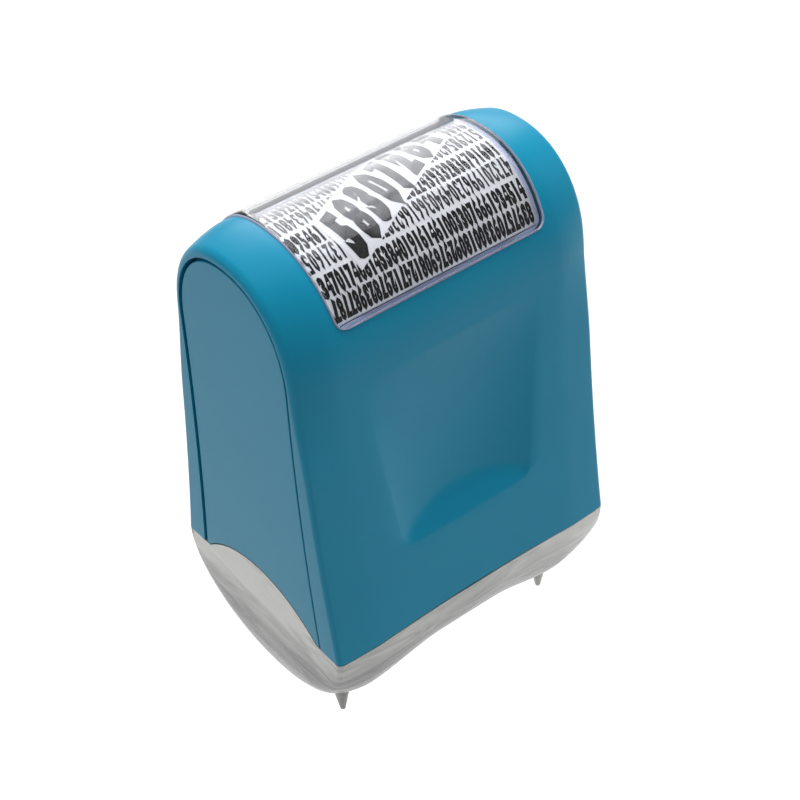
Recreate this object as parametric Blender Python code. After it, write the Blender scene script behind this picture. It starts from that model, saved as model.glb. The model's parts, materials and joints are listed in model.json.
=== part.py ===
"""Privacy roller stamp: a moulded housing with a pattern window, a pull-out roller cartridge and a clear cap.

Lengths are metres. +Z is up, +X runs along the rollers, and the origin is on the table, midway between
the four feet of the cap. Front (-Y) and back are alike, and so are left and right.
"""

import math

import bmesh
import bpy
from mathutils import Matrix, Vector

# Clearances shared by all pieces
SEAT_GAP = 0.0003  # between a piece and what it rests on or is pressed into
SLIDE_GAP = 0.0005  # beside a piece that slides past another
OVERRUN = 0.001  # how far a cutter runs past the wall that it cuts

# Housing
WIDTH = 0.0478  # end face to end face
HEIGHT = 0.0584  # lower edge to the top of the arch
SHOULDER_RISE = 0.0424  # lower edge to where the arch starts
SHOULDER_DEPTH = 0.0280  # front to back where the arch starts
WALL = 0.0018
ARCH_WALL = 0.0032
END_WALL = 0.0026
END_BAND_FOOT = 0.0065  # end face to the crease beside the end band, at the lower edge
END_BAND_HEAD = 0.0057  # the same from the shoulder up
SIDE_SWEEP = 0.0005  # how far the end band falls back from crease to fillet, low down
ARCH_SWEEP = 0.0009
SIDE_FILLET = 0.0008
ARCH_FILLET = 0.0016
ROUNDING_START = 0.0280  # lower edge to where the end band starts to round off
ROUNDING_RISE = 0.0180
ARCH_POWER = 2.2  # 2 is an ellipse, more is squarer
FLARE = 0.5  # 0 is a straight side, 1 runs into the arch without a crease
EDGE_BOW = 0.0009  # how far the lower edge rises at the middle
EDGE_BOW_MARGIN = 0.0024  # end face to where the bow starts

# Thumb scoops in the front and the back
SCOOP_DEPTH = 0.0024
SCOOP_FOOT_RISE = 0.0126  # lower edge of the housing to the foot of the ledge
SCOOP_LEDGE = 0.0030  # height of the ledge at the middle
SCOOP_HEIGHT = 0.0290  # foot of the ledge to where the scoop fades out
SCOOP_FOOT_MARGIN = 0.0128  # end face to the scoop, at its foot
SCOOP_HEAD_MARGIN = 0.0093
SCOOP_POWER = 2.2  # 2 is a parabola across, more is flatter in the middle

# End covers
COVER_THICK = 0.0015
COVER_BAND_BASE = 0.0050  # housing left beside a cover, at the lower edge
COVER_BAND_SHOULDER = 0.0028
COVER_BAND_TOP = 0.0029
COVER_LEDGE = 0.0012
COVER_GROOVE = 0.0004
COVER_RECESS = 0.0001
CATCH_REACH = 0.0006
CATCH_HEIGHT = 0.0010
CATCH_HALF = 0.0050
ARCH_CUT_HALF = 0.0129  # the arched cut at the foot of each end
ARCH_CUT_RISE = 0.0053

# Window lens and pattern label, seated in a pocket round the arch
WINDOW_TOP_MARGIN = 0.0067  # end face to the window, at the top of the arch
WINDOW_FOOT_MARGIN = 0.0078
WINDOW_START = math.radians(25.3)  # where the window starts, round the arch from the shoulder
WINDOW_CORNER = 0.0016
LENS_THICK = 0.0012
LENS_PROUD = 0.0003
LABEL_THICK = 0.0003
LABEL_MARGIN = 0.0008
STOP_RIB_THICK = 0.0015
STOP_RIB_INSET = 0.0080

# Print roller
ROLLER_RADIUS = 0.0125
SLEEVE_THICK = 0.0024
CORE_THICK = 0.0015
RING_WIDTH = 0.0016
RING_GAP = 0.0003
HUB_WEB = 0.0016
HUB_BOSS_RADIUS = 0.0034
HUB_BOSS_LENGTH = 0.0050
AXLE_RADIUS = 0.0015
ROLLER_ROOM = 0.0041  # roller to the housing wall, front and back
CORE_HOLES = 6
CORE_HOLE_RADIUS = 0.0014

# Ink roller
INK_RADIUS = 0.0065
SPOOL_RADIUS = 0.0029
SPOOL_FLANGE = 0.0012
SPOOL_FLANGE_RADIUS = 0.0052
SPINDLE_RADIUS = 0.0013

# Cartridge frame with its latches
ARM_THICK = 0.0015
ARM_LOBE = 0.0082
HUB_PLAY = 0.0005  # between a roller's end and the arm beside it
DECK_THICK = 0.0015
DECK_SLOT_HALF = 0.0042
CROSS_RIB_HEIGHT = 0.0030
CROSS_RIB_THICK = 0.0016
CROSS_RIB_DROP = 0.0065  # deck to the top of the cross ribs
LATCH_WIDTH = 0.0060
LATCH_FOOT_RISE = 0.0060  # print axle to the root of the latch
LATCH_LENGTH = 0.0100
LATCH_SLOT = 0.0008
LATCH_HOOK = 0.0005
LATCH_HOOK_HEIGHT = 0.0012

# Ink tank on the deck
TANK_HEIGHT = 0.0110
TANK_WALL = 0.0010
LID_THICK = 0.0012
LID_LIP = 0.0012
PLUG_STEM_RADIUS = 0.0022
PLUG_HEAD_RADIUS = 0.0036
PLUG_HEAD = 0.0008
SPONGE_MARGIN = 0.0003

# Clear cap
CAP_WALL = 0.0013
CAP_ROOM = 0.0040  # print roller to the floor of the cap, at the ends
CAP_POWER = 2.05  # of its section, where 2 is an ellipse
CAP_END_ROUND = 0.0078
CAP_WAIST = 0.0028  # how much shallower the cap is at the middle
WAIST_MARGIN = 0.0069  # end face to where the floor starts to rise to the waist
WAIST_SLOPE = 0.0120
LIP_THICK = 0.0009
LIP_RISE = 0.0024
LIP_MARGIN = 0.0099  # end face to the upstand inside the housing
LIP_SHOULDER = 0.0020
FOOT_MARGIN_X = 0.0053  # end face to the middle of a foot
FOOT_MARGIN_Y = 0.0084  # housing side to the middle of a foot
FOOT_DROP = 0.0010  # floor of the cap to the table
FOOT_ROOT_RADIUS = 0.0014
FOOT_TIP_RADIUS = 0.0005
FOOT_ROOT = 0.0042  # how far a foot runs up into the cap

# Where the end band is drawn between the crease (0) and the fillet (1), and just before the crease
BAND_SHARES = (-0.15, 0.15, 0.6)

# Numbers of steps
SIDE_STEPS = 4
ARCH_STEPS = 26
FILLET_STEPS = 4
CORNER_STEPS = 4
SCOOP_ROWS = 10
SCOOP_COLUMNS = 16
TROUGH_STEPS = 26
END_ROUND_STEPS = 6
WAIST_STEPS = 5
BEND_STEPS = 16
ROUND_SEGMENTS = 40
SMALL_SEGMENTS = 20

# Worked out from the sizes above
HALF_WIDTH = WIDTH / 2
INNER_END = HALF_WIDTH - END_WALL
CREASE_FOOT = HALF_WIDTH - END_BAND_FOOT
CREASE_HEAD = HALF_WIDTH - END_BAND_HEAD
EDGE_BOW_HALF = HALF_WIDTH - EDGE_BOW_MARGIN
SCOOP_FOOT_HALF = HALF_WIDTH - SCOOP_FOOT_MARGIN
SCOOP_HEAD_HALF = HALF_WIDTH - SCOOP_HEAD_MARGIN
WINDOW_TOP_HALF = HALF_WIDTH - WINDOW_TOP_MARGIN
WINDOW_FOOT_HALF = HALF_WIDTH - WINDOW_FOOT_MARGIN
LIP_HALF = HALF_WIDTH - LIP_MARGIN
FOOT_HALF_X = HALF_WIDTH - FOOT_MARGIN_X
BASE_HALF = ROLLER_RADIUS + ROLLER_ROOM + WALL
FOOT_HALF_Y = BASE_HALF - FOOT_MARGIN_Y
SHOULDER_HALF = SHOULDER_DEPTH / 2
CAP_DEPTH = ROLLER_RADIUS + CAP_ROOM + CAP_WALL
RIM_Z = FOOT_DROP + CAP_DEPTH
EDGE_Z = RIM_Z + SEAT_GAP
SHOULDER_Z = EDGE_Z + SHOULDER_RISE
APEX_Z = EDGE_Z + HEIGHT
AXLE_Z = EDGE_Z
ARM_OUT = INNER_END - SEAT_GAP
ARM_IN = ARM_OUT - ARM_THICK
ROLLER_HALF = ARM_IN - HUB_PLAY
CORE_RADIUS = ROLLER_RADIUS - SLEEVE_THICK - SEAT_GAP
CORE_BORE = CORE_RADIUS - CORE_THICK
SLEEVE_HALF = ROLLER_HALF - RING_WIDTH - RING_GAP
INK_Z = AXLE_Z + ROLLER_RADIUS + INK_RADIUS + SEAT_GAP
DECK_Z = INK_Z + INK_RADIUS + SLIDE_GAP
TANK_Z = DECK_Z + DECK_THICK + SEAT_GAP
LID_Z = TANK_Z + TANK_HEIGHT + SEAT_GAP
LID_TOP = LID_Z + LID_THICK
PLUG_Z = LID_TOP + SEAT_GAP
SCOOP_FOOT_Z = EDGE_Z + SCOOP_FOOT_RISE
SCOOP_CREST_Z = SCOOP_FOOT_Z + SCOOP_LEDGE
SCOOP_HEAD_Z = SCOOP_FOOT_Z + SCOOP_HEIGHT
LATCH_FOOT_Z = AXLE_Z + LATCH_FOOT_RISE
LATCH_TIP_Z = LATCH_FOOT_Z + LATCH_LENGTH
HOOK_TOP_Z = LATCH_TIP_Z - 2 * LATCH_SLOT
HOOK_Z = HOOK_TOP_Z - LATCH_HOOK_HEIGHT
COVER_OUT = HALF_WIDTH - COVER_RECESS
COVER_IN = COVER_OUT - COVER_THICK

MATERIALS = {
    "blue_abs": ((0.016, 0.205, 0.350, 1.0), 0.34, 0.0),
    "clear_ps": ((0.80, 0.82, 0.83, 0.45), 0.12, 0.0),
    "printed_card": ((0.85, 0.85, 0.83, 1.0), 0.60, 0.0),
    "white_pp": ((0.78, 0.79, 0.78, 1.0), 0.45, 0.0),
    "grey_pp": ((0.30, 0.31, 0.32, 1.0), 0.45, 0.0),
    "stamp_rubber": ((0.060, 0.060, 0.065, 1.0), 0.70, 0.0),
    "ring_rubber": ((0.030, 0.030, 0.032, 1.0), 0.75, 0.0),
    "inked_foam": ((0.015, 0.015, 0.020, 1.0), 0.90, 0.0),
    "steel": ((0.62, 0.62, 0.63, 1.0), 0.30, 1.0),
}


def clear_scene():
    for thing in list(bpy.data.objects):
        bpy.data.objects.remove(thing, do_unlink=True)


def material(name):
    """The Principled material of that name, made once."""
    found = bpy.data.materials.get(name)
    if found:
        return found
    colour, roughness, metallic = MATERIALS[name]
    made = bpy.data.materials.new(name)
    made.use_nodes = True
    shader = made.node_tree.nodes["Principled BSDF"]
    shader.inputs["Base Color"].default_value = colour
    shader.inputs["Alpha"].default_value = colour[3]
    shader.inputs["Roughness"].default_value = roughness
    shader.inputs["Metallic"].default_value = metallic
    return made


def add_object(name, mesh, finish=None, parent=None, crease=math.radians(32)):
    """Writes a bmesh to a new object, with its faces pointing out and its round parts shaded smooth."""
    bmesh.ops.recalc_face_normals(mesh, faces=mesh.faces)
    data = bpy.data.meshes.new(name)
    mesh.to_mesh(data)
    mesh.free()
    data.shade_smooth()
    data.set_sharp_from_angle(angle=crease)
    thing = bpy.data.objects.new(name, data)
    bpy.context.scene.collection.objects.link(thing)
    if finish:
        data.materials.append(material(finish))
    if parent:
        thing.parent = parent
        thing.matrix_parent_inverse = parent.matrix_world.inverted()
    return thing


def as_cutter(name, mesh):
    """An object that only shapes its neighbours."""
    thing = add_object(name, mesh)
    thing.hide_render = True
    thing.display_type = "WIRE"
    return thing


def combine(thing, other, operation):
    step = thing.modifiers.new(f"{operation.lower()}_{other.name}", "BOOLEAN")
    step.operation = operation
    step.object = other
    step.solver = "EXACT"


def cut(thing, *cutters):
    for other in cutters:
        combine(thing, other, "DIFFERENCE")


def join(thing, *others):
    for other in others:
        combine(thing, other, "UNION")


def extruded(corners, offset):
    """A closed outline of (x, y, z) corners, drawn out by an offset."""
    mesh = bmesh.new()
    face = mesh.faces.new([mesh.verts.new(corner) for corner in corners])
    grown = bmesh.ops.extrude_face_region(mesh, geom=[face])
    moved = [v for v in grown["geom"] if isinstance(v, bmesh.types.BMVert)]
    bmesh.ops.translate(mesh, verts=moved, vec=offset)
    return mesh


def prism_x(points, start, end):
    """A closed (y, z) outline drawn out along X."""
    return extruded([(start, y, z) for y, z in points], (end - start, 0, 0))


def prism_y(points, start, end):
    """A closed (x, z) outline drawn out along Y."""
    return extruded([(x, start, z) for x, z in points], (0, end - start, 0))


def block(low, high):
    """A rectangular block between two corners."""
    mesh = bmesh.new()
    low, high = Vector(low), Vector(high)
    bmesh.ops.create_cube(mesh, size=1.0)
    bmesh.ops.scale(mesh, verts=mesh.verts, vec=high - low)
    bmesh.ops.translate(mesh, verts=mesh.verts, vec=(low + high) / 2)
    return mesh


def loft(sections):
    """A closed solid through outlines of equal point counts, bridged one to the next and capped."""
    mesh = bmesh.new()
    loops = []
    for section in sections:
        corners = [mesh.verts.new(point) for point in section]
        loops.append([mesh.edges.new((a, b)) for a, b in zip(corners, corners[1:] + corners[:1])])
    for first, second in zip(loops, loops[1:]):
        bmesh.ops.bridge_loops(mesh, edges=first + second)
    for end in (loops[0], loops[-1]):
        bmesh.ops.contextual_create(mesh, geom=end)
    return mesh


def spun_x(points, z, segments, closed=True):
    """An (x, radius) outline spun round the line along X at height z. An open one ends on that line."""
    mesh = bmesh.new()
    corners = [mesh.verts.new((x, 0, z + radius)) for x, radius in points]
    pairs = list(zip(corners, corners[1:])) + ([(corners[-1], corners[0])] if closed else [])
    line = [mesh.edges.new(pair) for pair in pairs]
    bmesh.ops.spin(
        mesh,
        geom=corners + line,
        cent=(0, 0, z),
        axis=(1, 0, 0),
        angle=math.tau,
        steps=segments,
        use_merge=True,
    )
    if not closed:
        bmesh.ops.remove_doubles(mesh, verts=mesh.verts, dist=SEAT_GAP * OVERRUN)
    return mesh


def tube_x(outer, inner, start, end, z, segments=ROUND_SEGMENTS):
    return spun_x([(start, outer), (end, outer), (end, inner), (start, inner)], z, segments)


def rod_x(radius, start, end, z, segments=SMALL_SEGMENTS):
    """A solid rod along X."""
    mesh = bmesh.new()
    turned = Matrix.Translation(((start + end) / 2, 0, z)) @ Matrix.Rotation(math.pi / 2, 4, "Y")
    bmesh.ops.create_cone(
        mesh,
        cap_ends=True,
        segments=segments,
        radius1=radius,
        radius2=radius,
        depth=end - start,
        matrix=turned,
    )
    return mesh


def rod_z(radius, low, high, x=0.0, y=0.0, segments=SMALL_SEGMENTS, top_radius=None):
    """A rod or a cone standing along Z."""
    mesh = bmesh.new()
    bmesh.ops.create_cone(
        mesh,
        cap_ends=True,
        segments=segments,
        radius1=radius,
        radius2=radius if top_radius is None else top_radius,
        depth=high - low,
        matrix=Matrix.Translation((x, y, (low + high) / 2)),
    )
    return mesh


def steps_between(start, end, count):
    """Evenly spaced values from start to end, both included."""
    return [start + (end - start) * step / count for step in range(count + 1)]


def both_ways(start, end, sign):
    """A pair of positions on one side of the middle, in rising order."""
    return sorted((sign * start, sign * end))


def power(value, exponent):
    return math.copysign(abs(value) ** exponent, value)


def side_half(z, inset=0.0):
    """Half the depth of the housing between its lower edge and the shoulder."""
    share = (z - EDGE_Z) / SHOULDER_RISE
    flared = share + FLARE * share * (1 - share)
    return BASE_HALF + (SHOULDER_HALF - BASE_HALF) * flared - inset


def arch_point(angle, side_inset=0.0, top_inset=0.0):
    """A (y, z) point of the arch: angle 0 is the front shoulder and pi the back one."""
    rise = APEX_Z - SHOULDER_Z - top_inset
    reach = SHOULDER_HALF - side_inset
    y = -reach * power(math.cos(angle), 2 / ARCH_POWER)
    z = SHOULDER_Z + rise * power(math.sin(angle), 2 / ARCH_POWER)
    return y, z


def profile_half(z, side_inset=0.0, top_inset=0.0):
    """Half the depth of the housing's profile at any height."""
    if z <= SHOULDER_Z:
        return side_half(z, side_inset)
    share = min(1.0, (z - SHOULDER_Z) / (APEX_Z - SHOULDER_Z - top_inset))
    return (SHOULDER_HALF - side_inset) * (1 - share**ARCH_POWER) ** (1 / ARCH_POWER)


def profile(side_inset=0.0, arch_inset=0.0, below=0.0):
    """A (y, z) outline like the housing's, from the front lower edge over the arch to the back one."""
    front = [(-side_half(z, side_inset), z) for z in steps_between(EDGE_Z, SHOULDER_Z, SIDE_STEPS)[:-1]]
    if below:
        front.insert(0, (front[0][0], EDGE_Z - below))
    arch = [arch_point(angle, arch_inset, arch_inset) for angle in steps_between(0, math.pi, ARCH_STEPS)]
    return front + arch + [(-y, z) for y, z in reversed(front)]


def crease_x(z):
    """Where the end band starts at a height."""
    share = min(1.0, (z - EDGE_Z) / SHOULDER_RISE)
    return CREASE_FOOT + (CREASE_HEAD - CREASE_FOOT) * share


def rounding(z):
    """Share of the end band's full rounding at a height: none low down, and all of it round the arch."""
    share = min(1.0, max(0.0, (z - EDGE_Z - ROUNDING_START) / ROUNDING_RISE))
    return share * share * (3 - 2 * share)


def housing_section(sign, band=0.0, turn=None):
    """One outline of the housing: before the crease, at a share of the end band, or a turn through the fillet."""
    points = []
    angles = [0.0] * SIDE_STEPS + steps_between(0, math.pi, ARCH_STEPS) + [math.pi] * SIDE_STEPS
    for (y, z), angle in zip(profile(), angles):
        radius = SIDE_FILLET + (ARCH_FILLET - SIDE_FILLET) * rounding(z)
        crease, start = crease_x(z), HALF_WIDTH - radius
        fall = (ARCH_SWEEP - SIDE_SWEEP) * rounding(z)
        if turn is None:
            x = crease + (start - crease) * band
            inset = max(0.0, SIDE_SWEEP * band + fall * band * abs(band))
        else:
            x = start + radius * math.sin(turn)
            inset = SIDE_SWEEP + fall + radius * (1 - math.cos(turn))
        if z < SHOULDER_Z:
            y = math.copysign(side_half(z, inset), y)
        else:
            y, z = arch_point(angle, inset, inset)
        points.append((sign * x, y, z))
    return points


def edge_inset(x):
    """How far the housing's lower edge lies inside the middle profile at x."""
    start = HALF_WIDTH - SIDE_FILLET
    share = min(1.0, max(0.0, (abs(x) - CREASE_FOOT) / (start - CREASE_FOOT)))
    into = min(SIDE_FILLET, max(0.0, abs(x) - start))
    return SIDE_SWEEP * share + SIDE_FILLET - math.sqrt(SIDE_FILLET**2 - into**2)


def edge_bow(x):
    """How far the lower edge rises at x."""
    return EDGE_BOW * (1 - (x / EDGE_BOW_HALF) ** 2)


def scoop_depth(z):
    """Depth of a scoop above its ledge: full at the crest, and fading out towards the head."""
    left = min(1.0, max(0.0, (SCOOP_HEAD_Z - z) / (SCOOP_HEAD_Z - SCOOP_CREST_Z)))
    return SCOOP_DEPTH * left * (2 - left)


def scoop_solid(name, extra=0.0):
    """The space of the front thumb scoop, grown inwards by extra."""
    sections = []
    for z in steps_between(SCOOP_FOOT_Z - extra, SCOOP_HEAD_Z + extra, SCOOP_ROWS):
        along = min(1.0, max(0.0, (z - SCOOP_FOOT_Z) / SCOOP_HEIGHT))
        half = SCOOP_FOOT_HALF + (SCOOP_HEAD_HALF - SCOOP_FOOT_HALF) * along + extra
        depth, face = scoop_depth(z) + extra, -profile_half(z)
        shares = steps_between(-1, 1, SCOOP_COLUMNS)
        floor = [(half * share, face + depth * (1 - abs(share) ** SCOOP_POWER), z) for share in shares]
        sections.append(floor + [(half, face - OVERRUN, z), (-half, face - OVERRUN, z)])
    mesh = loft(sections)
    bmesh.ops.recalc_face_normals(mesh, faces=mesh.faces)
    foot = Vector((0, -side_half(SCOOP_FOOT_Z), SCOOP_FOOT_Z))
    crest = Vector((0, SCOOP_DEPTH - side_half(SCOOP_CREST_Z), SCOOP_CREST_Z))
    slope = crest - foot
    normal = Vector((0, -slope.z, slope.y)).normalized()
    everything = mesh.verts[:] + mesh.edges[:] + mesh.faces[:]
    start = foot - extra * normal
    bmesh.ops.bisect_plane(mesh, geom=everything, plane_co=start, plane_no=normal, clear_inner=True)
    rim = [edge for edge in mesh.edges if edge.is_boundary]
    bmesh.ops.contextual_create(mesh, geom=rim)
    return as_cutter(name, mesh)


def turned_to_back(thing, name):
    """A copy of a front cutter, turned half round to the back."""
    mesh = bmesh.new()
    mesh.from_mesh(thing.data)
    bmesh.ops.rotate(mesh, verts=mesh.verts, cent=(0, 0, 0), matrix=Matrix.Rotation(math.pi, 3, "Z"))
    return as_cutter(name, mesh)


def cover_profile(inset=0.0, below=0.0):
    """The (y, z) outline of an end cover, made smaller all round by inset."""
    front = []
    for z in steps_between(EDGE_Z, SHOULDER_Z, SIDE_STEPS)[:-1]:
        share = (z - EDGE_Z) / SHOULDER_RISE
        band = COVER_BAND_BASE + (COVER_BAND_SHOULDER - COVER_BAND_BASE) * share
        front.append((-side_half(z, band + inset), z))
    if below:
        front.insert(0, (front[0][0], EDGE_Z - below))
    side, top = COVER_BAND_SHOULDER + inset, COVER_BAND_TOP + inset
    arch = [arch_point(angle, side, top) for angle in steps_between(0, math.pi, ARCH_STEPS)]
    return front + arch + [(-y, z) for y, z in reversed(front)]


def end_arch(gap, below):
    """The (y, z) outline of the arched cut at the foot of an end, or of what fills it with a gap."""
    radius = (ARCH_CUT_HALF**2 + ARCH_CUT_RISE**2) / (2 * ARCH_CUT_RISE)
    centre = RIM_Z + ARCH_CUT_RISE - radius
    spread = math.acos((RIM_Z - centre) / (radius - gap))
    turns = steps_between(-spread, spread, BEND_STEPS)
    bow = [((radius - gap) * math.sin(turn), centre + (radius - gap) * math.cos(turn)) for turn in turns]
    return bow + [(bow[-1][0], RIM_Z - below), (bow[0][0], RIM_Z - below)]


def arch_turn(distance):
    """The turn round the arch that moves a point by a distance, near the foot of the window."""
    small = math.pi / ARCH_STEPS
    here, there = Vector(arch_point(WINDOW_START)), Vector(arch_point(WINDOW_START + small))
    return distance * small / (there - here).length


def window_plate(outer_inset, inner_inset, margin):
    """A curved plate with rounded corners, made smaller than the window by a margin all round."""
    corner = WINDOW_CORNER - margin
    turns = steps_between(0, math.pi / 2, CORNER_STEPS)
    rounding = [(arch_turn(corner * (1 - math.cos(turn))), corner * (1 - math.sin(turn))) for turn in turns]
    first, full = WINDOW_START + arch_turn(margin), WINDOW_START + arch_turn(margin + corner)
    places = [(first + along, pull) for along, pull in rounding]
    places += [(angle, 0.0) for angle in steps_between(full, math.pi - full, ARCH_STEPS - CORNER_STEPS)[1:-1]]
    places += [(math.pi - first - along, pull) for along, pull in reversed(rounding)]
    sections = []
    for angle, pull in places:
        half = WINDOW_FOOT_HALF + (WINDOW_TOP_HALF - WINDOW_FOOT_HALF) * math.sin(angle) - margin - pull
        outside = arch_point(angle, outer_inset, outer_inset)
        inside = arch_point(angle, inner_inset, inner_inset)
        sections.append([(-half, *outside), (half, *outside), (half, *inside), (-half, *inside)])
    return loft(sections)


def build_housing(body):
    turns = steps_between(0, math.pi / 2, FILLET_STEPS)
    sections = []
    for sign in (-1, 1):
        outlines = [housing_section(sign, band) for band in BAND_SHARES]
        outlines += [housing_section(sign, turn=turn) for turn in turns]
        sections += outlines if sign > 0 else outlines[::-1]
    shell = add_object("housing_shell", loft(sections), "blue_abs", body)

    cavity = as_cutter("cavity", prism_x(profile(WALL, ARCH_WALL, OVERRUN), -INNER_END, INNER_END))
    guard = scoop_solid("scoop_guard_front", WALL)
    cut(cavity, guard, turned_to_back(guard, "scoop_guard_back"))
    for name, sign in (("left", -1), ("right", 1)):
        xs = both_ways(INNER_END - STOP_RIB_INSET, INNER_END - STOP_RIB_INSET - STOP_RIB_THICK, sign)
        rib = block((xs[0], -BASE_HALF, LID_TOP + SEAT_GAP), (xs[1], BASE_HALF, APEX_Z))
        cut(cavity, as_cutter(f"stop_rib_{name}", rib))
    scoop = scoop_solid("scoop_front")
    cut(shell, cavity, scoop, turned_to_back(scoop, "scoop_back"))

    floor = LENS_THICK - LENS_PROUD + LABEL_THICK + 2 * SEAT_GAP
    cut(shell, as_cutter("window_pocket", window_plate(-OVERRUN, floor, -SEAT_GAP)))
    past = EDGE_BOW_HALF + OVERRUN
    bow = [(x, EDGE_Z + edge_bow(x)) for x in steps_between(-past, past, BEND_STEPS)]
    outline = bow + [(past, EDGE_Z - OVERRUN), (-past, EDGE_Z - OVERRUN)]
    cut(shell, as_cutter("edge_bow", prism_y(outline, -BASE_HALF - OVERRUN, BASE_HALF + OVERRUN)))

    for name, sign in (("left", -1), ("right", 1)):
        outside = HALF_WIDTH + OVERRUN
        seat = prism_x(cover_profile(-COVER_GROOVE, OVERRUN), *both_ways(COVER_IN - SEAT_GAP, outside, sign))
        hole = prism_x(cover_profile(COVER_LEDGE, OVERRUN), *both_ways(INNER_END - OVERRUN, outside, sign))
        arch = prism_x(end_arch(0.0, OVERRUN), *both_ways(INNER_END - OVERRUN, outside, sign))
        cut(shell, as_cutter(f"cover_seat_{name}", seat), as_cutter(f"cover_hole_{name}", hole))
        cut(shell, as_cutter(f"end_arch_{name}", arch))


def build_end_cover(name, sign, body):
    """A flat cover that closes one end of the housing, with a catch inside for the cartridge's latch."""
    cover = prism_x(cover_profile(), *both_ways(COVER_IN, COVER_OUT, sign))
    made = add_object(name, cover, "blue_abs", body)
    xs = both_ways(COVER_IN - CATCH_REACH, COVER_IN + COVER_THICK / 2, sign)
    top = HOOK_Z - SEAT_GAP
    catch = block((xs[0], -CATCH_HALF, top - CATCH_HEIGHT), (xs[1], CATCH_HALF, top))
    join(made, as_cutter(f"{name}_catch", catch))
    arch = prism_x(end_arch(0.0, OVERRUN), *both_ways(COVER_IN - OVERRUN, COVER_OUT + OVERRUN, sign))
    cut(made, as_cutter(f"{name}_arch", arch))


def build_window(body):
    lens = window_plate(-LENS_PROUD, LENS_THICK - LENS_PROUD, 0.0)
    add_object("window_lens", lens, "clear_ps", body)
    top = LENS_THICK - LENS_PROUD + SEAT_GAP
    add_object("pattern_label", window_plate(top, top + LABEL_THICK, LABEL_MARGIN), "printed_card", body)


def build_print_roller(body):
    seat = CORE_RADIUS + SEAT_GAP
    sleeve = tube_x(ROLLER_RADIUS, seat, -SLEEVE_HALF, SLEEVE_HALF, AXLE_Z)
    add_object("print_sleeve", sleeve, "stamp_rubber", body)
    core = tube_x(CORE_RADIUS, CORE_BORE, -ROLLER_HALF, ROLLER_HALF, AXLE_Z)
    add_object("print_core", core, "grey_pp", body)
    for name, sign in (("left", -1), ("right", 1)):
        ring = tube_x(ROLLER_RADIUS, seat, *both_ways(ROLLER_HALF - RING_WIDTH, ROLLER_HALF, sign), AXLE_Z)
        add_object(f"drive_ring_{name}", ring, "ring_rubber", body)
        build_core_hub(name, sign, body)


def build_core_hub(name, sign, body):
    """A pressed-in end plate of the core, with a boss on the axle and lightening holes."""
    rim, bore = CORE_BORE - SEAT_GAP, AXLE_RADIUS + SEAT_GAP
    web_x, boss_x = ROLLER_HALF - HUB_WEB, ROLLER_HALF - HUB_BOSS_LENGTH
    outline = [(ROLLER_HALF, bore), (ROLLER_HALF, rim), (web_x, rim)]
    outline += [(web_x, HUB_BOSS_RADIUS), (boss_x, HUB_BOSS_RADIUS), (boss_x, bore)]
    hub = spun_x([(sign * x, radius) for x, radius in outline], AXLE_Z, ROUND_SEGMENTS)
    made = add_object(f"core_hub_{name}", hub, "grey_pp", body)
    middle = AXLE_Z + (rim + HUB_BOSS_RADIUS) / 2
    ends = both_ways(web_x - OVERRUN, ROLLER_HALF + OVERRUN, sign)
    for step in range(CORE_HOLES):
        hole = rod_x(CORE_HOLE_RADIUS, *ends, middle, SMALL_SEGMENTS // 2)
        turn = Matrix.Rotation(math.tau * step / CORE_HOLES, 3, "X")
        bmesh.ops.rotate(hole, verts=hole.verts, cent=(0, 0, AXLE_Z), matrix=turn)
        cut(made, as_cutter(f"hub_hole_{name}_{step}", hole))


def build_ink_roller(body):
    foam = tube_x(INK_RADIUS, SPOOL_RADIUS + SEAT_GAP, -SLEEVE_HALF, SLEEVE_HALF, INK_Z)
    add_object("ink_foam", foam, "inked_foam", body)
    flange_in = SLEEVE_HALF + SEAT_GAP
    flange_out = flange_in + SPOOL_FLANGE
    tip = ARM_OUT - SEAT_GAP
    outline = [
        (-tip, 0),
        (-tip, SPINDLE_RADIUS),
        (-flange_out, SPINDLE_RADIUS),
        (-flange_out, SPOOL_FLANGE_RADIUS),
        (-flange_in, SPOOL_FLANGE_RADIUS),
        (-flange_in, SPOOL_RADIUS),
        (SLEEVE_HALF, SPOOL_RADIUS),
        (SLEEVE_HALF, SPINDLE_RADIUS),
        (tip, SPINDLE_RADIUS),
        (tip, 0),
    ]
    spool = spun_x(outline, INK_Z, SMALL_SEGMENTS, closed=False)
    add_object("ink_spool", spool, "white_pp", body)
    cap = tube_x(SPOOL_FLANGE_RADIUS, SPINDLE_RADIUS + SEAT_GAP, flange_in, flange_out, INK_Z)
    add_object("ink_spool_cap", cap, "white_pp", body)


def cartridge_half():
    """Half the depth of the cartridge, which passes the scoops and stands up under the arch."""
    heights = steps_between(SCOOP_CREST_Z, SCOOP_HEAD_Z, SCOOP_ROWS)
    past_scoop = min(profile_half(z, WALL) - scoop_depth(z) for z in heights)
    under_arch = profile_half(LID_TOP, ARCH_WALL, ARCH_WALL)
    return min(past_scoop, under_arch) - SLIDE_GAP


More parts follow.
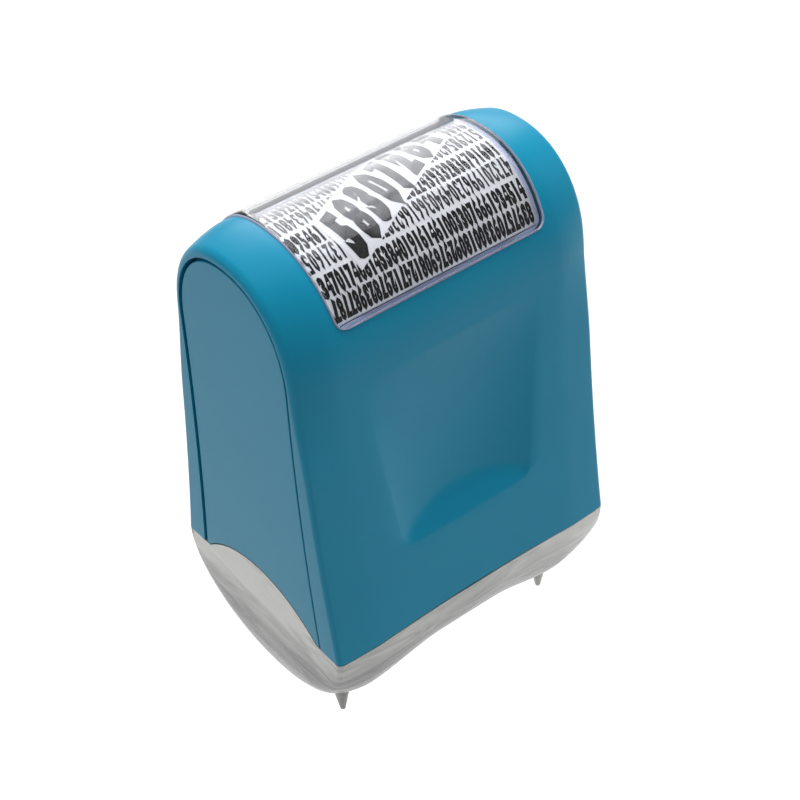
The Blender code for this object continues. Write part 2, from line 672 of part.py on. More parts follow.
def build_cartridge(body):
    half = cartridge_half()
    turns = steps_between(0, math.pi, BEND_STEPS)
    lobe = [(-ARM_LOBE * math.cos(turn), AXLE_Z - ARM_LOBE * math.sin(turn)) for turn in turns]
    outline = lobe + [(half, DECK_Z), (half, LID_Z), (-half, LID_Z), (-half, DECK_Z)]
    frame = add_object("cartridge_frame", prism_x(outline, -ARM_OUT, -ARM_IN), "white_pp", body)
    reach = ARM_IN + ARM_THICK / 2
    deck = block((-reach, -half, DECK_Z), (reach, half, DECK_Z + DECK_THICK))
    join(frame, as_cutter("deck", deck), as_cutter("right_arm", prism_x(outline, ARM_IN, ARM_OUT)))
    rib_top = DECK_Z - CROSS_RIB_DROP
    for name, sign in (("front", -1), ("back", 1)):
        ys = both_ways(half - CROSS_RIB_THICK, half, sign)
        rib = block((-reach, ys[0], rib_top - CROSS_RIB_HEIGHT), (reach, ys[1], rib_top))
        join(frame, as_cutter(f"cross_rib_{name}", rib))
    low, high = DECK_Z - OVERRUN, DECK_Z + DECK_THICK + OVERRUN
    slot = block((-SLEEVE_HALF, -DECK_SLOT_HALF, low), (SLEEVE_HALF, DECK_SLOT_HALF, high))
    past = ARM_OUT + OVERRUN
    axle_bore = rod_x(AXLE_RADIUS + SEAT_GAP, -past, past, AXLE_Z)
    spindle_bore = rod_x(SPINDLE_RADIUS + SEAT_GAP, -past, past, INK_Z)
    cut(frame, as_cutter("deck_slot", slot))
    cut(frame, as_cutter("axle_bore", axle_bore), as_cutter("spindle_bore", spindle_bore))
    for name, sign in (("left", -1), ("right", 1)):
        build_latch(frame, name, sign)
    axle = rod_x(AXLE_RADIUS, SEAT_GAP - ARM_OUT, ARM_OUT - SEAT_GAP, AXLE_Z)
    add_object("print_axle", axle, "steel", body)
    build_tank(half, body)


def build_latch(frame, name, sign):
    """A springy finger in an arm, freed by one slot round its sides and tip, with a hook at its tip."""
    half = LATCH_WIDTH / 2
    around = half + LATCH_SLOT
    outer = [(around, LATCH_FOOT_Z), (around, LATCH_TIP_Z), (-around, LATCH_TIP_Z), (-around, LATCH_FOOT_Z)]
    inner = [(-half, LATCH_FOOT_Z), (-half, LATCH_TIP_Z - LATCH_SLOT), (half, LATCH_TIP_Z - LATCH_SLOT)]
    slot = prism_x(outer + inner + [(half, LATCH_FOOT_Z)], *both_ways(ARM_IN - OVERRUN, ARM_OUT + OVERRUN, sign))
    cut(frame, as_cutter(f"latch_slot_{name}", slot))
    hook_x = both_ways(ARM_OUT - ARM_THICK / 2, ARM_OUT + LATCH_HOOK, sign)
    hook = block((hook_x[0], -half, HOOK_Z), (hook_x[1], half, HOOK_TOP_Z))
    join(frame, as_cutter(f"latch_hook_{name}", hook))


def build_tank(half, body):
    """The ink tank between the arms, its lid and filler plug, and the sponge that wets the ink roller."""
    tank_x = ARM_IN - SEAT_GAP
    wall_x, wall_y = tank_x - TANK_WALL, half - TANK_WALL
    top = TANK_Z + TANK_HEIGHT
    tank = add_object("ink_tank", block((-tank_x, -half, TANK_Z), (tank_x, half, top)), "grey_pp", body)
    hollow = block((-wall_x, -wall_y, TANK_Z - OVERRUN), (wall_x, wall_y, top + OVERRUN))
    cut(tank, as_cutter("tank_hollow", hollow))

    lid = add_object("tank_lid", block((-tank_x, -half, LID_Z), (tank_x, half, LID_TOP)), "grey_pp", body)
    lip_z, lip_x, lip_y = LID_Z - LID_LIP, wall_x - SEAT_GAP, wall_y - SEAT_GAP
    lip = block((-lip_x, -lip_y, lip_z), (lip_x, lip_y, LID_Z + LID_THICK / 2))
    join(lid, as_cutter("lid_lip", lip))
    hole = rod_z(PLUG_STEM_RADIUS + SEAT_GAP, lip_z - OVERRUN, PLUG_Z + OVERRUN)
    cut(lid, as_cutter("filler_hole", hole))
    head = rod_z(PLUG_HEAD_RADIUS, PLUG_Z, PLUG_Z + PLUG_HEAD)
    plug = add_object("filler_plug", head, "white_pp", body)
    join(plug, as_cutter("plug_stem", rod_z(PLUG_STEM_RADIUS, lip_z, PLUG_Z + PLUG_HEAD / 2)))

    radius, foot = INK_RADIUS + SEAT_GAP, DECK_SLOT_HALF - SPONGE_MARGIN
    shoulder, sponge_top = wall_y - SPONGE_MARGIN, lip_z - SEAT_GAP
    spread = math.asin(foot / radius)
    turns = steps_between(spread, -spread, BEND_STEPS // 2)
    bowl = [(radius * math.sin(turn), INK_Z + radius * math.cos(turn)) for turn in turns]
    sides = [(-foot, TANK_Z), (-shoulder, TANK_Z), (-shoulder, sponge_top)]
    outline = bowl + sides + [(-y, z) for y, z in reversed(sides)]
    length = min(SLEEVE_HALF, wall_x) - SPONGE_MARGIN
    add_object("ink_sponge", prism_x(outline, -length, length), "inked_foam", body)


def waist_share(x):
    """How much of the cap's waist there is at x: all of it in the middle."""
    share = min(1.0, max(0.0, (HALF_WIDTH - WAIST_MARGIN - abs(x)) / WAIST_SLOPE))
    return share * share * (3 - 2 * share)


def cap_depth(x, wall):
    """Depth of the cap below its rim at x: shallower at the waist, and rounded up at the ends."""
    radius = CAP_END_ROUND - wall
    into = min(radius, max(0.0, abs(x) - (HALF_WIDTH - CAP_END_ROUND)))
    return CAP_DEPTH - wall - CAP_WAIST * waist_share(x) - radius + math.sqrt(radius**2 - into**2)


def trough(x, wall, above):
    """The (x, y, z) outline of the cap at x, from the front rim under the rollers to the back rim."""
    rise = max(0.0, edge_bow(x))
    half, depth = BASE_HALF - edge_inset(x) - wall, cap_depth(x, wall) + rise
    points = []
    for turn in steps_between(0, math.pi, TROUGH_STEPS):
        y = -half * power(math.cos(turn), 2 / CAP_POWER)
        points.append((x, y, RIM_Z + rise - depth * power(math.sin(turn), 2 / CAP_POWER)))
    if above:
        points += [(x, half, RIM_Z + above), (x, -half, RIM_Z + above)]
    return points


def cap_body(wall, above):
    """A solid of the cap's outline, made smaller by a wall, and higher than its rim."""
    start, radius = HALF_WIDTH - CAP_END_ROUND, CAP_END_ROUND - wall
    stations = steps_between(0, start, WAIST_STEPS)[:-1]
    stations += [start + radius * math.sin(turn) for turn in steps_between(0, math.pi / 2, END_ROUND_STEPS)]
    mirrored = [-x for x in reversed(stations[1:])]
    return loft([trough(x, wall, above) for x in mirrored + stations])


def build_cap(body):
    cap = add_object("clear_cap", cap_body(0.0, 0.0), "clear_ps", body)
    top = FOOT_DROP + FOOT_ROOT
    corners = {"a": (-1, -1), "b": (1, -1), "c": (-1, 1), "d": (1, 1)}
    for name, (sx, sy) in corners.items():
        x, y = sx * FOOT_HALF_X, sy * FOOT_HALF_Y
        foot = rod_z(FOOT_TIP_RADIUS, 0.0, top, x, y, SMALL_SEGMENTS // 2, FOOT_ROOT_RADIUS)
        join(cap, as_cutter(f"foot_{name}", foot))
    for name, sign in (("left", -1), ("right", 1)):
        xs = both_ways(HALF_WIDTH - CAP_WALL - OVERRUN, COVER_OUT, sign)
        join(cap, as_cutter(f"end_tab_{name}", prism_x(end_arch(SEAT_GAP, OVERRUN), *xs)))
    cut(cap, as_cutter("cap_hollow", cap_body(CAP_WALL, ARCH_CUT_RISE + OVERRUN)))
    for name, sign in (("front", -1), ("back", 1)):
        join(cap, as_cutter(f"cap_lip_{name}", prism_x(lip_outline(sign), -LIP_HALF, LIP_HALF)))


def lip_outline(sign):
    """The (y, z) outline of the upstand that enters the housing, and of the shoulder that carries it."""
    top = EDGE_Z + LIP_RISE
    low_out, top_out = side_half(EDGE_Z, WALL + SEAT_GAP), side_half(top, WALL + SEAT_GAP)
    wall = BASE_HALF - CAP_WALL / 2
    points = [(wall, RIM_Z), (low_out, RIM_Z), (top_out, top), (top_out - LIP_THICK, top)]
    points += [(low_out - LIP_THICK, RIM_Z), (wall - LIP_THICK / 2, RIM_Z - LIP_SHOULDER)]
    return [(sign * y, z) for y, z in points]


def add_body(name, z=0.0, parent=None):
    """An empty that carries the pieces that move together, with its origin on their joint."""
    empty = bpy.data.objects.new(name, None)
    empty.location = (0, 0, z - (parent.matrix_world.translation.z if parent else 0))
    bpy.context.scene.collection.objects.link(empty)
    if parent:
        empty.parent = parent
    bpy.context.view_layer.update()
    return empty


def main():
    clear_scene()
    housing = add_body("housing_body")
    cartridge = add_body("cartridge_body", EDGE_Z, housing)
    print_roller = add_body("print_roller_body", AXLE_Z, cartridge)
    ink_roller = add_body("ink_roller_body", INK_Z, cartridge)
    cap = add_body("cap_body", RIM_Z, cartridge)
    build_housing(housing)
    build_end_cover("end_cover_left", -1, housing)
    build_end_cover("end_cover_right", 1, housing)
    build_window(housing)
    build_cartridge(cartridge)
    build_print_roller(print_roller)
    build_ink_roller(ink_roller)
    build_cap(cap)


main()
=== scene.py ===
import bisect
import json
import math
import random

import bmesh
import bpy
from mathutils import Matrix, Vector

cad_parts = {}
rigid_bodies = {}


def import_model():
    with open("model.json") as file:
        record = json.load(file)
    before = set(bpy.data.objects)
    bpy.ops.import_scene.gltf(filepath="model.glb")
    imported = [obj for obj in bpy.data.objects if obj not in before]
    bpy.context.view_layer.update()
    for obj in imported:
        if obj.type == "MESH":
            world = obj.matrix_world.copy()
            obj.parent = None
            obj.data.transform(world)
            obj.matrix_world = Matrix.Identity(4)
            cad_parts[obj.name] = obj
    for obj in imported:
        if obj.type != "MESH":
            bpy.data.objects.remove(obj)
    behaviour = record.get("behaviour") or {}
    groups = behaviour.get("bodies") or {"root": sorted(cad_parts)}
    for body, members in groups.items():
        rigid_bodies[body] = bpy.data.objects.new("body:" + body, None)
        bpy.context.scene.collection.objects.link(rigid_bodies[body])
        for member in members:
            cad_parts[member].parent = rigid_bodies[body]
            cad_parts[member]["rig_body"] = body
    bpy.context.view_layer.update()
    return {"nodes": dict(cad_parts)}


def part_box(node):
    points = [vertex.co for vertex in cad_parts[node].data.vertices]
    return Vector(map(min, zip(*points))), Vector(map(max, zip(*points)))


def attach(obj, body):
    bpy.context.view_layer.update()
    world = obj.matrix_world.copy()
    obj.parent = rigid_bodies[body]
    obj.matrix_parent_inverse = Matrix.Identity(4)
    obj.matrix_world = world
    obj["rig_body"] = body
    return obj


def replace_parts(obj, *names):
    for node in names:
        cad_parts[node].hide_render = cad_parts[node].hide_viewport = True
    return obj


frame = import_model()

# Housing shell
# The blue cover that the hand holds: one injection moulding in ABS, with a satin skin from a finely
# eroded mould. It has a flat lower edge that bows up a little, a thumb scoop front and back, soft end
# bands, a seat at each end for a cover, and a shallow pocket over the arch for the window.
half_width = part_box("housing_shell")[1].x
edge_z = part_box("housing_shell")[0].z
apex_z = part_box("housing_shell")[1].z
base_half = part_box("clear_cap")[1].y
shoulder_rise = 0.0424
shoulder_half = 0.0140
shoulder_z = edge_z + shoulder_rise
arch_power = 2.2
flare = 0.5
wall = 0.0018
arch_wall = 0.0032
end_wall = 0.0026
inner_end = half_width - end_wall
wall_change = 0.0040  # height over which the wall grows to the arch's

crease_foot = half_width - 0.0065
crease_head = half_width - 0.0057
crease_blend = 0.15  # share of the end band over which the crease is softened
side_sweep = 0.0005
arch_sweep = 0.0009
side_fillet = 0.0008
arch_fillet = 0.0016
side_fillet_drop = 0.0008
arch_fillet_drop = 0.0013
rounding_start = 0.0280
rounding_rise = 0.0180

edge_bow_rise = 0.0009
edge_bow_half = half_width - 0.0024

scoop_depth = 0.0024
scoop_foot_rise = 0.0126
scoop_ledge = 0.0030
scoop_height = 0.0290
scoop_soft_rise = 0.0042  # height above the foot that takes the finest rows
scoop_foot_half = half_width - 0.0128
scoop_head_half = half_width - 0.0093
scoop_power = 2.2
scoop_blend = 0.0010  # depth over which the ledge runs into the floor
scoop_foot_blend = 0.0009  # height over which the ledge leaves the front
scoop_corner = 0.14  # share of the half width taken by a lower corner
scoop_corner_rise = 0.0015

window_top_half = half_width - 0.0067
window_foot_half = half_width - 0.0078
window_start = math.radians(25.3)
window_corner = 0.0016
lens_thick = 0.0012
lens_proud = 0.0003
label_thick = 0.0003
seat_gap = 0.0003
pocket_gap = 0.00006
pocket_depth = lens_thick - lens_proud + label_thick + 2 * seat_gap

cover_thick = 0.0015
cover_recess = 0.0001
cover_groove = 0.0004
cover_ledge = 0.0012
cover_band_base = 0.0050
cover_band_shoulder = 0.0028
cover_band_top = 0.0029
cover_out = half_width - cover_recess
cover_in = cover_out - cover_thick
rim_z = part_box("clear_cap")[0].z + edge_z - seat_gap
arch_cut_half = 0.0129
arch_cut_rise = 0.0053

merge_distance = 1e-7
crease_turn = math.radians(35)  # an edge that turns further than this is shaded as a crease
edge_steps = 12  # rows of faces below the scoop, then in its ledge, its floor and the shoulder above it
ledge_steps = 20
scoop_steps = 36
shoulder_steps = 12
window_steps = 30
corner_steps = 6
fillet_steps = 9
scoop_columns = 56


def linear(hex_colour):
    """An sRGB hex colour as the linear colour that Blender's sockets take."""
    values = [int(hex_colour[place : place + 2], 16) / 255 for place in (1, 3, 5)]
    return [v / 12.92 if v <= 0.04045 else ((v + 0.055) / 1.055) ** 2.4 for v in values] + [1.0]


def set_sockets(material, node, sockets):
    """Gives each named socket its value, or links it to another node's output."""
    for key, value in sockets.items():
        if isinstance(value, bpy.types.NodeSocket):
            material.node_tree.links.new(value, node.inputs[key])
        else:
            node.inputs[key].default_value = value


def add_node(material, kind, sockets=None, settings=None):
    """Adds a shader node. A socket takes a value or another node's output, and settings are its options."""
    node = material.node_tree.nodes.new("ShaderNode" + kind)
    for name, value in (settings or {}).items():
        setattr(node, name, value)
    set_sockets(material, node, sockets or {})
    return node


def start_material(name, sockets):
    """A new Principled material with its constant sockets, and its object coordinates."""
    made = bpy.data.materials.new(name)
    made.use_nodes = True
    shader = made.node_tree.nodes["Principled BSDF"]
    set_sockets(made, shader, sockets)
    return made, shader, add_node(made, "TexCoord").outputs["Object"]


def mesh_data(name, mesh):
    """Writes a bmesh to new mesh data."""
    data = bpy.data.meshes.new(name)
    mesh.to_mesh(data)
    mesh.free()
    return data


def add_object(name, data):
    """A new object in the scene, at the origin."""
    made = bpy.data.objects.new(name, data)
    bpy.context.scene.collection.objects.link(made)
    return made


def add_piece(name, mesh, materials, body):
    """Writes a bmesh to a new object that is shaded smooth up to the crease turn, and rides on a body."""
    bmesh.ops.recalc_face_normals(mesh, faces=mesh.faces)
    data = mesh_data(name, mesh)
    data.shade_smooth()
    data.set_sharp_from_angle(angle=crease_turn)
    piece = add_object(name, data)
    for material in materials:
        data.materials.append(material)
    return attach(piece, body)


def even_shading(piece):
    """Keeps large flat faces flat where they meet a rounded edge."""
    weights = piece.modifiers.new("even_shading", "WEIGHTED_NORMAL")
    weights.keep_sharp = True
    weights.weight = 100
    return piece


def spaced(start, end, count):
    """Evenly spaced values from start to end, both included."""
    return [start + (end - start) * step / count for step in range(count + 1)]


def eased(share):
    """A share from 0 to 1 that changes slowly at both ends."""
    share = min(1.0, max(0.0, share))
    return share * share * (3 - 2 * share)


def side_half(z, inset=0.0):
    """Half the depth of the housing between its lower edge and the shoulder."""
    share = (z - edge_z) / shoulder_rise
    flared = share + flare * share * (1 - share)
    return base_half + (shoulder_half - base_half) * flared - inset


def arch_point(angle, side_inset=0.0, top_inset=0.0):
    """(half depth, height) of the arch at an angle from 0, the shoulder, to a quarter turn, the top."""
    half = (shoulder_half - side_inset) * max(0.0, math.cos(angle)) ** (2 / arch_power)
    rise = apex_z - shoulder_z - top_inset
    return half, shoulder_z + rise * math.sin(angle) ** (2 / arch_power)


def arch_turn(distance):
    """The turn round the arch that moves a point by a distance, near the foot of the window."""
    small = math.radians(1)
    here, there = Vector(arch_point(window_start)), Vector(arch_point(window_start + small))
    return distance * small / (there - here).length


def window_places(margin, steps):
    """(angle, half width) up the front half of the window, made smaller all round by a margin."""
    corner = window_corner - margin
    first = window_start + arch_turn(margin)
    full = first + arch_turn(corner)
    turns = spaced(0, math.pi / 2, corner_steps)
    places = [(first + arch_turn(corner * (1 - math.cos(t))), corner * (1 - math.sin(t))) for t in turns]
    places += [(angle, 0.0) for angle in spaced(full, math.pi / 2, steps)[1:]]
    taper = window_top_half - window_foot_half
    return [(angle, window_foot_half + taper * math.sin(angle) - margin - pull) for angle, pull in places]


def shell_rows():
    """Rows up the front, over the arch and down the back: (side, height or None, angle, half width).

    Up to the shoulder a row has a height, and over the arch an angle. The half width is that of the scoop
    or of the window."""
    foot, head = edge_z + scoop_foot_rise, edge_z + scoop_foot_rise + scoop_height
    heights = spaced(edge_z, foot, edge_steps)[:-1] + spaced(foot, foot + scoop_soft_rise, ledge_steps)[:-1]
    heights += spaced(foot + scoop_soft_rise, head, scoop_steps) + [(head + shoulder_z) / 2]
    rows = []
    for z in heights:
        along = min(1.0, max(0.0, (z - foot) / scoop_height))
        rows.append((z, 0.0, scoop_foot_half + (scoop_head_half - scoop_foot_half) * along))
    places = window_places(-pocket_gap, window_steps)
    first_angle, first_half = places[0]
    for angle in spaced(0, first_angle, shoulder_steps)[:-1]:
        share = eased(angle / first_angle)
        rows.append((None, angle, scoop_head_half + (first_half - scoop_head_half) * share))
    rows += [(None, angle, half) for angle, half in places]
    return [(-1, *row) for row in rows] + [(1, *row) for row in reversed(rows[:-1])]


def row_height(row):
    """The height of a row, before the bow of the lower edge lifts it."""
    height, angle = row[1:3]
    return arch_point(angle)[1] if height is None else height


def band_rounding(z):
    """Share of the end band's full rounding at a height: none low down, and all of it round the arch."""
    return eased((z - edge_z - rounding_start) / rounding_rise)


def crease_x(z):
    """How far out the crease of the end band lies at a height."""
    return crease_foot + (crease_head - crease_foot) * min(1.0, (z - edge_z) / shoulder_rise)


def band_inset(x, z):
    """How far the end band falls back at x, with its crease softened."""
    start = half_width - side_fillet - (arch_fillet - side_fillet) * band_rounding(z)
    share = (abs(x) - crease_x(z)) / (start - crease_x(z))
    if share <= -crease_blend:
        return 0.0
    if share < crease_blend:
        share = (share + crease_blend) ** 2 / (4 * crease_blend)
    return side_sweep * share + (arch_sweep - side_sweep) * band_rounding(z) * share * share


def edge_lift(x, z):
    """How far the bow of the lower edge lifts a point. It has gone at the foot of the scoops."""
    bow = max(0.0, edge_bow_rise * (1 - (x / edge_bow_half) ** 2))
    return bow * max(0.0, 1 - (z - edge_z) / scoop_foot_rise)


def scoop_inset(share, z):
    """Depth of a thumb scoop at a share of its half width: a sloping ledge that runs into a hollow floor."""
    rise = z - edge_z - scoop_foot_rise
    if rise <= 0 or rise >= scoop_height or abs(share) >= 1:
        return 0.0
    left = min(1.0, (scoop_height - rise) / (scoop_height - scoop_ledge))
    floor = scoop_depth * left * (2 - left) * (1 - abs(share) ** scoop_power)
    into = min(1.0, max(0.0, (abs(share) - 1 + scoop_corner) / scoop_corner))
    climb = max(0.0, rise - scoop_corner_rise * (1 - math.sqrt(1 - into * into)))
    if climb < scoop_foot_blend:
        climb = climb * climb / (2 * scoop_foot_blend)
    else:
        climb -= scoop_foot_blend / 2
    ledge = scoop_depth * climb / scoop_ledge
    near = max(0.0, 1 - abs(floor - ledge) / scoop_blend)
    return max(0.0, min(floor, ledge) - near * near * scoop_blend / 4)


def on_profile(row, x, side_inset, top_inset):
    """The point at x on the housing's profile, made smaller by an inset."""
    side, height, angle = row[:3]
    if height is None:
        half, z = arch_point(angle, side_inset, top_inset)
    else:
        z = height + edge_lift(x, height)
        half = side_half(z, side_inset)
    return x, side * half, z


def outer_point(row, part, share):
    """A point of the outer skin. share counts from the feature's edge, the crease or the fillet outwards."""
    z = row_height(row)
    side = math.copysign(1, share)
    amount = abs(share)
    if part == "feature":
        x = row[3] * share
        inset = scoop_inset(share, z) if row[1] is not None else 0.0
        return on_profile(row, x, inset + band_inset(x, z), inset + band_inset(x, z))
    along = arch_fillet * band_rounding(z) + side_fillet * (1 - band_rounding(z))
    drop = arch_fillet_drop * band_rounding(z) + side_fillet_drop * (1 - band_rounding(z))
    centre = half_width - along
    slope = (side_sweep + 2 * (arch_sweep - side_sweep) * band_rounding(z)) / (centre - crease_x(z))
    turn = math.atan(slope * along / drop)
    start = centre + along * math.sin(turn)
    if part == "flank":
        x = row[3] + (crease_x(z) - row[3]) * amount
    elif part == "band":
        x = crease_x(z) + (start - crease_x(z)) * amount
    else:
        turn_here = turn + (math.pi / 2 - turn) * amount
        x = centre + along * math.sin(turn_here)
        inset = band_inset(start, z) + drop * (math.cos(turn) - math.cos(turn_here))
        return on_profile(row, side * x, inset, inset)
    inset = band_inset(x, z)
    return on_profile(row, side * x, inset, inset)


def inner_point(row, part, share):
    """A point of the inner skin, which bulges in behind the scoops."""
    z = row_height(row)
    thick = wall + (arch_wall - wall) * eased((z - shoulder_z + wall_change) / wall_change)
    if part == "feature":
        hollow = scoop_inset(share, z) if row[1] is not None else 0.0
        return on_profile(row, row[3] * share, thick + hollow, thick)
    x = math.copysign(row[3] + (inner_end - row[3]) * abs(share), share)
    return on_profile(row, x, thick, thick)


def cover_point(row, x, inset):
    """A point of an end cover's outline, made smaller by an inset."""
    side, height, angle = row[:3]
    if height is None:
        half, z = arch_point(angle, cover_band_shoulder + inset, cover_band_top + inset)
        return x, side * half, z
    share = (height - edge_z) / shoulder_rise
    band = cover_band_base + (cover_band_shoulder - cover_band_base) * share
    return x, side * side_half(height, band + inset), height


def wall_grid(rows, stations, place):
    """A wall that is closed round its stations and open at its first and last row: a grid bent into place."""
    mesh = bmesh.new()
    across, along = len(stations), len(rows) - 1
    bmesh.ops.create_grid(mesh, x_segments=across, y_segments=along, size=1.0)
    placed = {}
    for vertex in mesh.verts:
        station = round((vertex.co.x + 1) / 2 * across) % across
        row = round((vertex.co.y + 1) / 2 * along)
        vertex.co = place(rows[row], stations[station])
        placed[vertex] = (row, station)
    return mesh, placed


def close_rims(mesh):
    """Merges the seam of a bent grid and fills its open rims."""
    bmesh.ops.remove_doubles(mesh, verts=mesh.verts, dist=merge_distance)
    rim = [edge for edge in mesh.edges if edge.is_boundary]
    bmesh.ops.triangle_fill(mesh, use_beauty=True, use_dissolve=False, edges=rim)


def shell_point(row, station):
    """A point of the housing's wall. The stations run over the outer skin, round the ends and back inside."""
    part, share = station
    side = math.copysign(1, share)
    if part in ("scoop or window", "flank", "band", "fillet"):
        return outer_point(row, "feature" if part == "scoop or window" else part, share)
    if part == "strip":
        return cover_point(row, side * half_width, -cover_groove)
    if part == "groove":
        return cover_point(row, side * (cover_in - seat_gap), -cover_groove)
    if part == "ledge":
        return cover_point(row, side * (cover_in - seat_gap), cover_ledge)
    if part == "mouth":
        return cover_point(row, side * inner_end, cover_ledge)
    return inner_point(row, "feature" if part == "inner middle" else "flank", share)


band_start = 0.0001  # the first row of a band or a fillet stands this share past its inner line
flank_shares = [0.3, 0.6, 0.85]
band_shares = [band_start, 0.07, 0.15, 0.3, 0.5, 0.75]
fillet_shares = [band_start] + spaced(0, 1, fillet_steps)[1:]
outer_half = [("flank", share) for share in flank_shares]
outer_half += [("band", share) for share in band_shares]
outer_half += [("fillet", share) for share in fillet_shares]
outer_half += [(part, 1.0) for part in ("strip", "groove", "ledge", "mouth")]
outer_half += [("inner flank", share) for share in (1.0, 0.5)]
stations = [(part, -share) for part, share in reversed(outer_half)]
stations += [("scoop or window", share) for share in spaced(-1, 1, scoop_columns)]
stations += outer_half + [("inner middle", share) for share in spaced(1, -1, scoop_columns)]

rows = shell_rows()
shell_mesh, placed = wall_grid(rows, stations, shell_point)
window_first = window_places(-pocket_gap, 1)[0][0]
window_rows = [n for n, row in enumerate(rows) if row[1] is None and row[2] >= window_first]
pocket = set()
for vertex, (row, station) in placed.items():
    if window_rows[0] <= row <= window_rows[-1] and stations[station][0] == "scoop or window":
        pocket.add(vertex)
shell_mesh.normal_update()
inwards = {tuple(vertex.co): -vertex.normal for vertex in pocket}
pocket_faces = [face for face in shell_mesh.faces if all(vertex in pocket for vertex in face.verts)]
turned_in = sum(face.normal.z for face in pocket_faces) < 0
pocket_edges = list({edge for face in pocket_faces for edge in face.edges})
sunk = bmesh.ops.extrude_face_region(shell_mesh, geom=pocket_faces + pocket_edges + list(pocket))["geom"]
for vertex in [thing for thing in sunk if isinstance(thing, bmesh.types.BMVert)]:
    vertex.co += inwards[tuple(vertex.co)] * (-pocket_depth if turned_in else pocket_depth)
close_rims(shell_mesh)

# Satin ABS: a deep blue-green body colour under a soft, wide highlight, from a finely eroded mould.
# The grain is about 0.2 mm, and the colour drifts a little, as in every thick moulding.
satin_skin = {"Roughness": 0.38, "IOR": 1.46, "Specular IOR Level": 0.26}
blue_abs, shader, place = start_material("blue_abs", satin_skin)
drift_and_painted_light = add_node(blue_abs, "TexNoise", {"Vector": place, "Scale": 1 / 0.014, "Detail": 2.0})
body_colour = add_node(
    blue_abs,
    "Mix",
    {0: drift_and_painted_light.outputs["Fac"], 6: linear("#0C89AD"), 7: linear("#1191B4")},
    {"data_type": "RGBA"},
)
grain = add_node(blue_abs, "TexNoise", {"Vector": place, "Scale": 1 / 0.0002, "Detail": 3.0})
relief = add_node(blue_abs, "Bump", {"Height": grain.outputs["Fac"], "Strength": 0.10, "Distance": 0.00002})
set_sockets(blue_abs, shader, {"Base Color": body_colour.outputs[2], "Normal": relief.outputs["Normal"]})

shell = add_piece("moulded_housing", shell_mesh, [blue_abs], "housing")
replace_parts(shell, "housing_shell")

# End covers
# A flat plate closes each end of the housing. It is moulded in the same ABS, is pressed into its seat
# with a fine groove all round, and its foot is cut to an arch over the cap's raised end wall.
cover_edge_round = 0.00016
cover_pull = 0.00010  # the moulded cover shrinks a little in its seat
cover_side_steps = 24
cover_arch_steps = 40
cover_foot_steps = 48
same_plane = 1e-6
cover_rows = [(-1, z, 0.0, 0.0) for z in spaced(edge_z, shoulder_z, cover_side_steps)[:-1]]
cover_rows += [(-1, None, angle, 0.0) for angle in spaced(0, math.pi / 2, cover_arch_steps)]
cover_rows += [(1, *row[1:]) for row in reversed(cover_rows[:-1])]


def end_arch(gap, steps):
    """The (y, z) points of the arched cut at the foot of an end, from its back end to its front end."""
    radius = (arch_cut_half**2 + arch_cut_rise**2) / (2 * arch_cut_rise)
    centre = rim_z + arch_cut_rise - radius
    foot = max(edge_z, rim_z) if gap == 0 else rim_z
    spread = math.acos((foot - centre) / (radius - gap))
    turns = spaced(spread, -spread, steps)
    return [((radius - gap) * math.sin(turn), centre + (radius - gap) * math.cos(turn)) for turn in turns]


def add_bar(mesh, outline, length):
    """Adds a bar to a mesh: a flat outline of points, drawn out along X by a length."""
    face = mesh.faces.new([mesh.verts.new(point) for point in outline])
    grown = bmesh.ops.extrude_face_region(mesh, geom=[face], use_keep_orig=True)["geom"]
    moved = [thing for thing in grown if isinstance(thing, bmesh.types.BMVert)]
    bmesh.ops.translate(mesh, verts=moved, vec=(length, 0, 0))


def round_edges(mesh, edges, radius, segments, clamp=False):
    """Rounds edges, as the corners of a mould do."""
    bmesh.ops.bevel(
        mesh,
        geom=edges,
        offset=radius,
        affect="EDGES",
        segments=segments,
        profile=0.5,
        material=-1,
        clamp_overlap=clamp,
    )


for name, side in (("left", -1), ("right", 1)):
    cover_mesh = bmesh.new()
    outline = [cover_point(row, side * cover_out, cover_pull) for row in cover_rows]
    outline += [(side * cover_out, y, z) for y, z in end_arch(0.0, cover_foot_steps)]
    add_bar(cover_mesh, outline, -side * cover_thick)
    outer_rim = []
    for edge in cover_mesh.edges:
        if all(abs(vertex.co.x - side * cover_out) < same_plane for vertex in edge.verts):
            outer_rim.append(edge)
    round_edges(cover_mesh, outer_rim, cover_edge_round, 3)
    cover = even_shading(add_piece(f"moulded_end_cover_{name}", cover_mesh, [blue_abs], "housing"))
    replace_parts(cover, f"end_cover_{name}")

# Pattern label
# A white card under the window shows the pattern that the roller prints. It is printed in black and grey
# with close rows of condensed digits, every second row upside down, and a slanting band of large digits.
label_inset = lens_thick - lens_proud + seat_gap
label_margin = 0.00025
label_border = 0.00055
print_margin = 0.00015  # bare card between the border and the print
label_columns = 8
facing = 0.5  # a face that looks out of the arch by less than this is one of a sheet's sides
ink_lift = 0.00003
bend_step = 0.0007
arc_steps = 300


